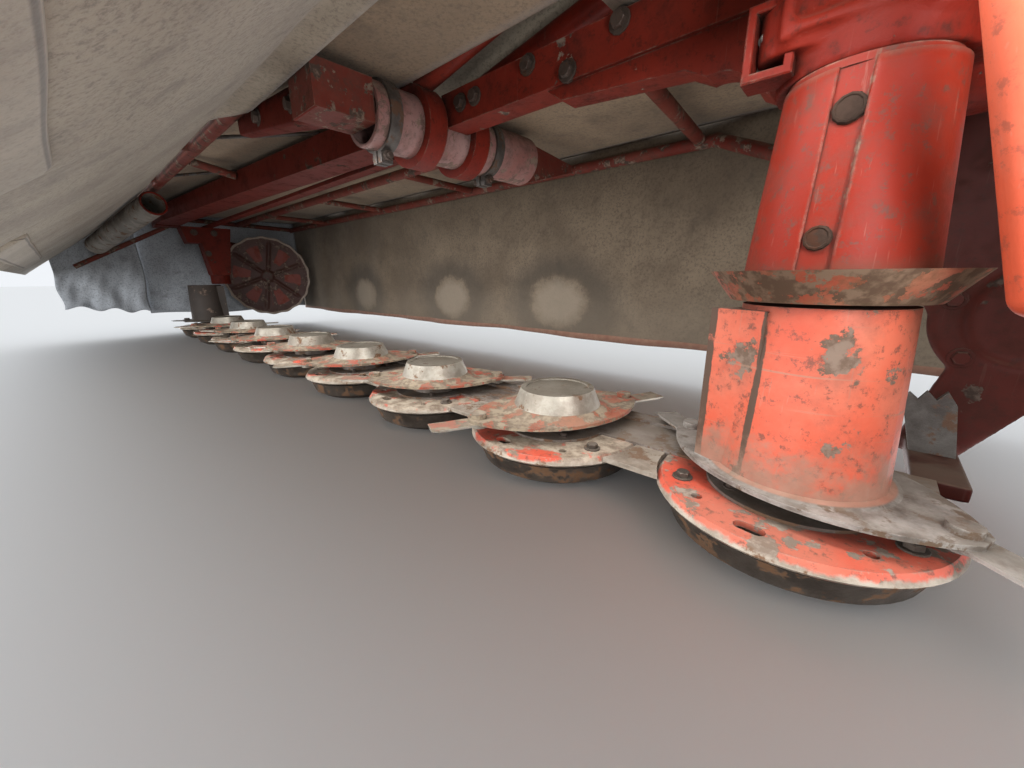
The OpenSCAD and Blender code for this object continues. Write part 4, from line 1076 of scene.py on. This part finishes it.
# %% Tubes along a path
def tube(name, path, radius, body, look, slot, sides=12, ripple=0.0, pitch=0.004, step=None):
    """radius = r (1 + ripple |sin(pi s / pitch)|), where s is the distance along the path; closed ends."""
    path = np.asarray(path, float)
    length = np.concatenate([[0], np.cumsum(np.linalg.norm(np.diff(path, axis=0), axis=1))])
    if step is not None:
        s = np.linspace(0, length[-1], max(int(length[-1] / step), 2))
        path = np.stack([np.interp(s, length, path[:, i]) for i in range(3)], axis=1)
    else:
        s = length
    ahead = np.gradient(path, axis=0)
    ahead /= np.linalg.norm(ahead, axis=1, keepdims=True)
    helper = np.where(np.abs(ahead[:, 2:]) < 0.9, [[0.0, 0.0, 1.0]], [[1.0, 0.0, 0.0]])
    side = np.cross(helper, ahead)
    side /= np.linalg.norm(side, axis=1, keepdims=True)
    third = np.cross(ahead, side)
    thick = radius * (1 + ripple * np.abs(np.sin(np.pi * s / pitch)))
    thick = np.concatenate([[1e-5], thick, [1e-5]])
    path, side, third = (np.vstack([a[:1], a, a[-1:]]) for a in (path, side, third))
    angle = np.arange(sides) * 2 * np.pi / sides
    ring = np.cos(angle)[None, :, None] * side[:, None] + np.sin(angle)[None, :, None] * third[:, None]
    points = path[:, None] + thick[:, None, None] * ring
    grid_piece(name, points[:, ::-1], body, look, closed=True)


rods = {"thin_rod_near": [(1.16, 0.045, 0.7305), (1.30, 0.150, 0.7305), (1.40, 0.229, 0.7305)],
        "thin_rod_far": [(1.78, 0.085, 0.7305), (1.90, 0.160, 0.7305), (2.02, 0.229, 0.7305)]}
for name, path in rods.items():
    tube(name, path, 0.005, "unit", "dark_steel", "dark_steel")
pipe_way = np.array([0.884, 0.156, -0.126])
pipe_way /= np.linalg.norm(pipe_way)
pipe_side = np.cross([0, 0, 1.0], pipe_way)
pipe_side /= np.linalg.norm(pipe_side)
pipe_up = np.cross(pipe_way, pipe_side)
turn = np.linspace(0, 2 * np.pi, 49)[:-1]
ring = np.cos(turn)[:, None] * pipe_side + np.sin(turn)[:, None] * pipe_up
ring = np.array([2.2905, 0.268, 0.660]) + 0.0438 * ring
tube("pipe_rim", np.vstack([ring, ring[:2]]), 0.0042, "unit", "cast_red", "cast_red", sides=8)
weld = dict(ripple=0.30, pitch=0.005, step=0.0012, sides=6)
beads = [("beam_seam", [(0.101, -0.0605, 0.679), (0.101, -0.0605, 0.744)], "unit"),
         ("rail_seam", [(0.768, 0.2285, 0.652), (0.866, 0.2285, 0.652)], "unit"),
         ("pillar_seam", [(3.0595, -0.186, 0.6485), (3.0595, 0.058, 0.6485)], "unit"),
         ("mast_seam", [(-1.209, 0.690, 0.5505), (-1.209, 0.758, 0.5505)], "headstock"),
         ("post_seam_front", [(-1.059, 0.7605, 0.5505), (-0.971, 0.7605, 0.5505)], "headstock"),
         ("post_seam_side", [(-0.9695, 0.672, 0.5505), (-0.9695, 0.758, 0.5505)], "headstock"),
         ("top_seam", [(-0.9695, 0.6695, 0.792), (-0.9695, 0.6695, 0.878)], "headstock")]
for name, path, body in beads:
    tube(name, path, 0.0032, body, "dull_red", "dull_red", **weld)
print("tubes and beads:", len(rods) + 1 + len(beads))

# %% [markdown]
# ## The shells round the drum housing
# Two bent sheets lie on the housing and leave a sunk strip between them, where the plugs sit.
# Each is a part of a cone: its radius falls evenly with height, and its edge leans a little.

# %% Housing shells
def cone_shell(name, edge_foot, edge_top, far_angle, lift, node=None):
    """Angles in degrees; radius = 0.088 m less 0.0856 m for each metre above z = 0.322, plus the lift."""
    z = np.linspace(0.331, 0.538, 24)[:, None]
    w = np.linspace(0, 1, 72)[None, :]
    t = (z - 0.331) / 0.207
    edge = edge_foot + (edge_top - edge_foot) * t
    a = np.radians(edge + (far_angle - edge) * w)
    # the free edge is rolled down over its first 2 mm or so
    radius = 0.088 - 0.0856 * (z - 0.322) + lift - 0.0012 * np.clip(1 - w * 40, 0, 1) ** 2 + 0 * w
    points = np.stack([radius * np.cos(a), radius * np.sin(a), z + 0 * a], axis=2)
    rises = far_angle > edge_foot
    made = grid_piece(name, points if rises else points[:, ::-1], "unit", "bright_red")
    thicken(made, 0.0016, offset=-1.0 if rises else 1.0)
    if node is not None:
        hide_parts(node)
    return made


shells = [cone_shell("cover_shell", 92.8, 97.2, 206.0, 0.0032, "housing_cover"),
          cone_shell("outer_shell", 73.4, 75.4, -40.0, 0.0022)]
print("housing shells:", [shell.name for shell in shells])

# %% [markdown]
# A square lug with a window stands beside the gearbox; the window's floor is a dark plate, painted shade that
# makes the window look deep. Its rings go from the back of the outside, round the front, and in to the floor
# of the window.

# %% Window lug
ring_x = np.array([0.060, 0.060, 0.108, 0.108])
ring_z = np.array([0.550, 0.622, 0.622, 0.550])
inset = np.array([0.0, 0.0, 0.0015, 0.008, 0.009, 0.009])[:, None]
depth = np.array([0.018, 0.0545, 0.056, 0.056, 0.0545, 0.024])[:, None]
side_x, side_z = np.sign(ring_x - 0.084), np.sign(ring_z - 0.586)
rings = np.stack([ring_x - side_x * inset, depth + 0 * ring_x, ring_z - side_z * inset], axis=2)
ends = [np.full((1, 4, 3), (0.084, y, 0.586)) for y in (0.018, 0.024)]
rings = np.concatenate([ends[0], rings, ends[1]])
lug = grid_piece("window_lug", rings, "unit", "cast_red", closed=True, smooth=False)
merge_doubles(lug.data, outward=True)
# painted shade: a dark plate at the floor of the window stands in for the shade deep inside it
shade_plate = np.array([[[0.0695, 0.030, 0.5595], [0.0695, 0.030, 0.6125]],
                       [[0.0985, 0.030, 0.5595], [0.0985, 0.030, 0.6125]]])
window = grid_piece("window_floor", shade_plate[::-1], "unit", "dark_drum", smooth=False)
thicken(window, 0.004)
fasteners("window_bolt", [(0.090, 0.031, 0.594, 0, 1, 0)], 0.010, "unit", "dark_steel", rings=nut_rings)
fasteners("casting_bolt", [(0.030, 0.0715, 0.645, 0, 1, 0)], 0.0115, "unit", "cast_red")
print("window lug:", len(lug.data.polygons), "faces")

# %% [markdown]
# ## The bracket to the front rail
# From the pendulum tube a tapered box arm runs out to the front rail. Its section is a rounded
# square that shrinks along the way.

# %% Front bracket
t = np.linspace(0, 1, 30)[:, None]
turn = np.linspace(0, 2 * np.pi, 49)[None, :-1]
middle = np.stack([0.845 + 0.345 * t, 0.176 + 0.040 * t, 0.690 + 0.022 * t], axis=2)
# section: |cos|^0.3 by |sin|^0.3, half sizes that taper
flat = np.sign(np.cos(turn)) * np.abs(np.cos(turn)) ** 0.3
tall = np.sign(np.sin(turn)) * np.abs(np.sin(turn)) ** 0.3
points = middle + np.stack([0 * flat * t, flat * (0.030 - 0.014 * t), tall * (0.040 - 0.018 * t)], axis=2)
ends = [ring.mean(axis=1, keepdims=True) + 0 * ring for ring in (points[:1], points[-1:])]
points = np.concatenate([ends[0], points, ends[1]])
bracket = grid_piece("front_bracket", points[:, ::-1], "unit", "dark_red", closed=True,
                     smooth=False)
fasteners("bracket_bolts", [(1.08, 0.2215, 0.705, 0.1, 1, 0), (0.92, 0.2105, 0.695, 0.1, 1, 0)], 0.0125)
print("front bracket:", len(bracket.data.polygons), "faces")

# %% [markdown]
# ## Last step

# %% Finish
bpy.context.view_layer.update()
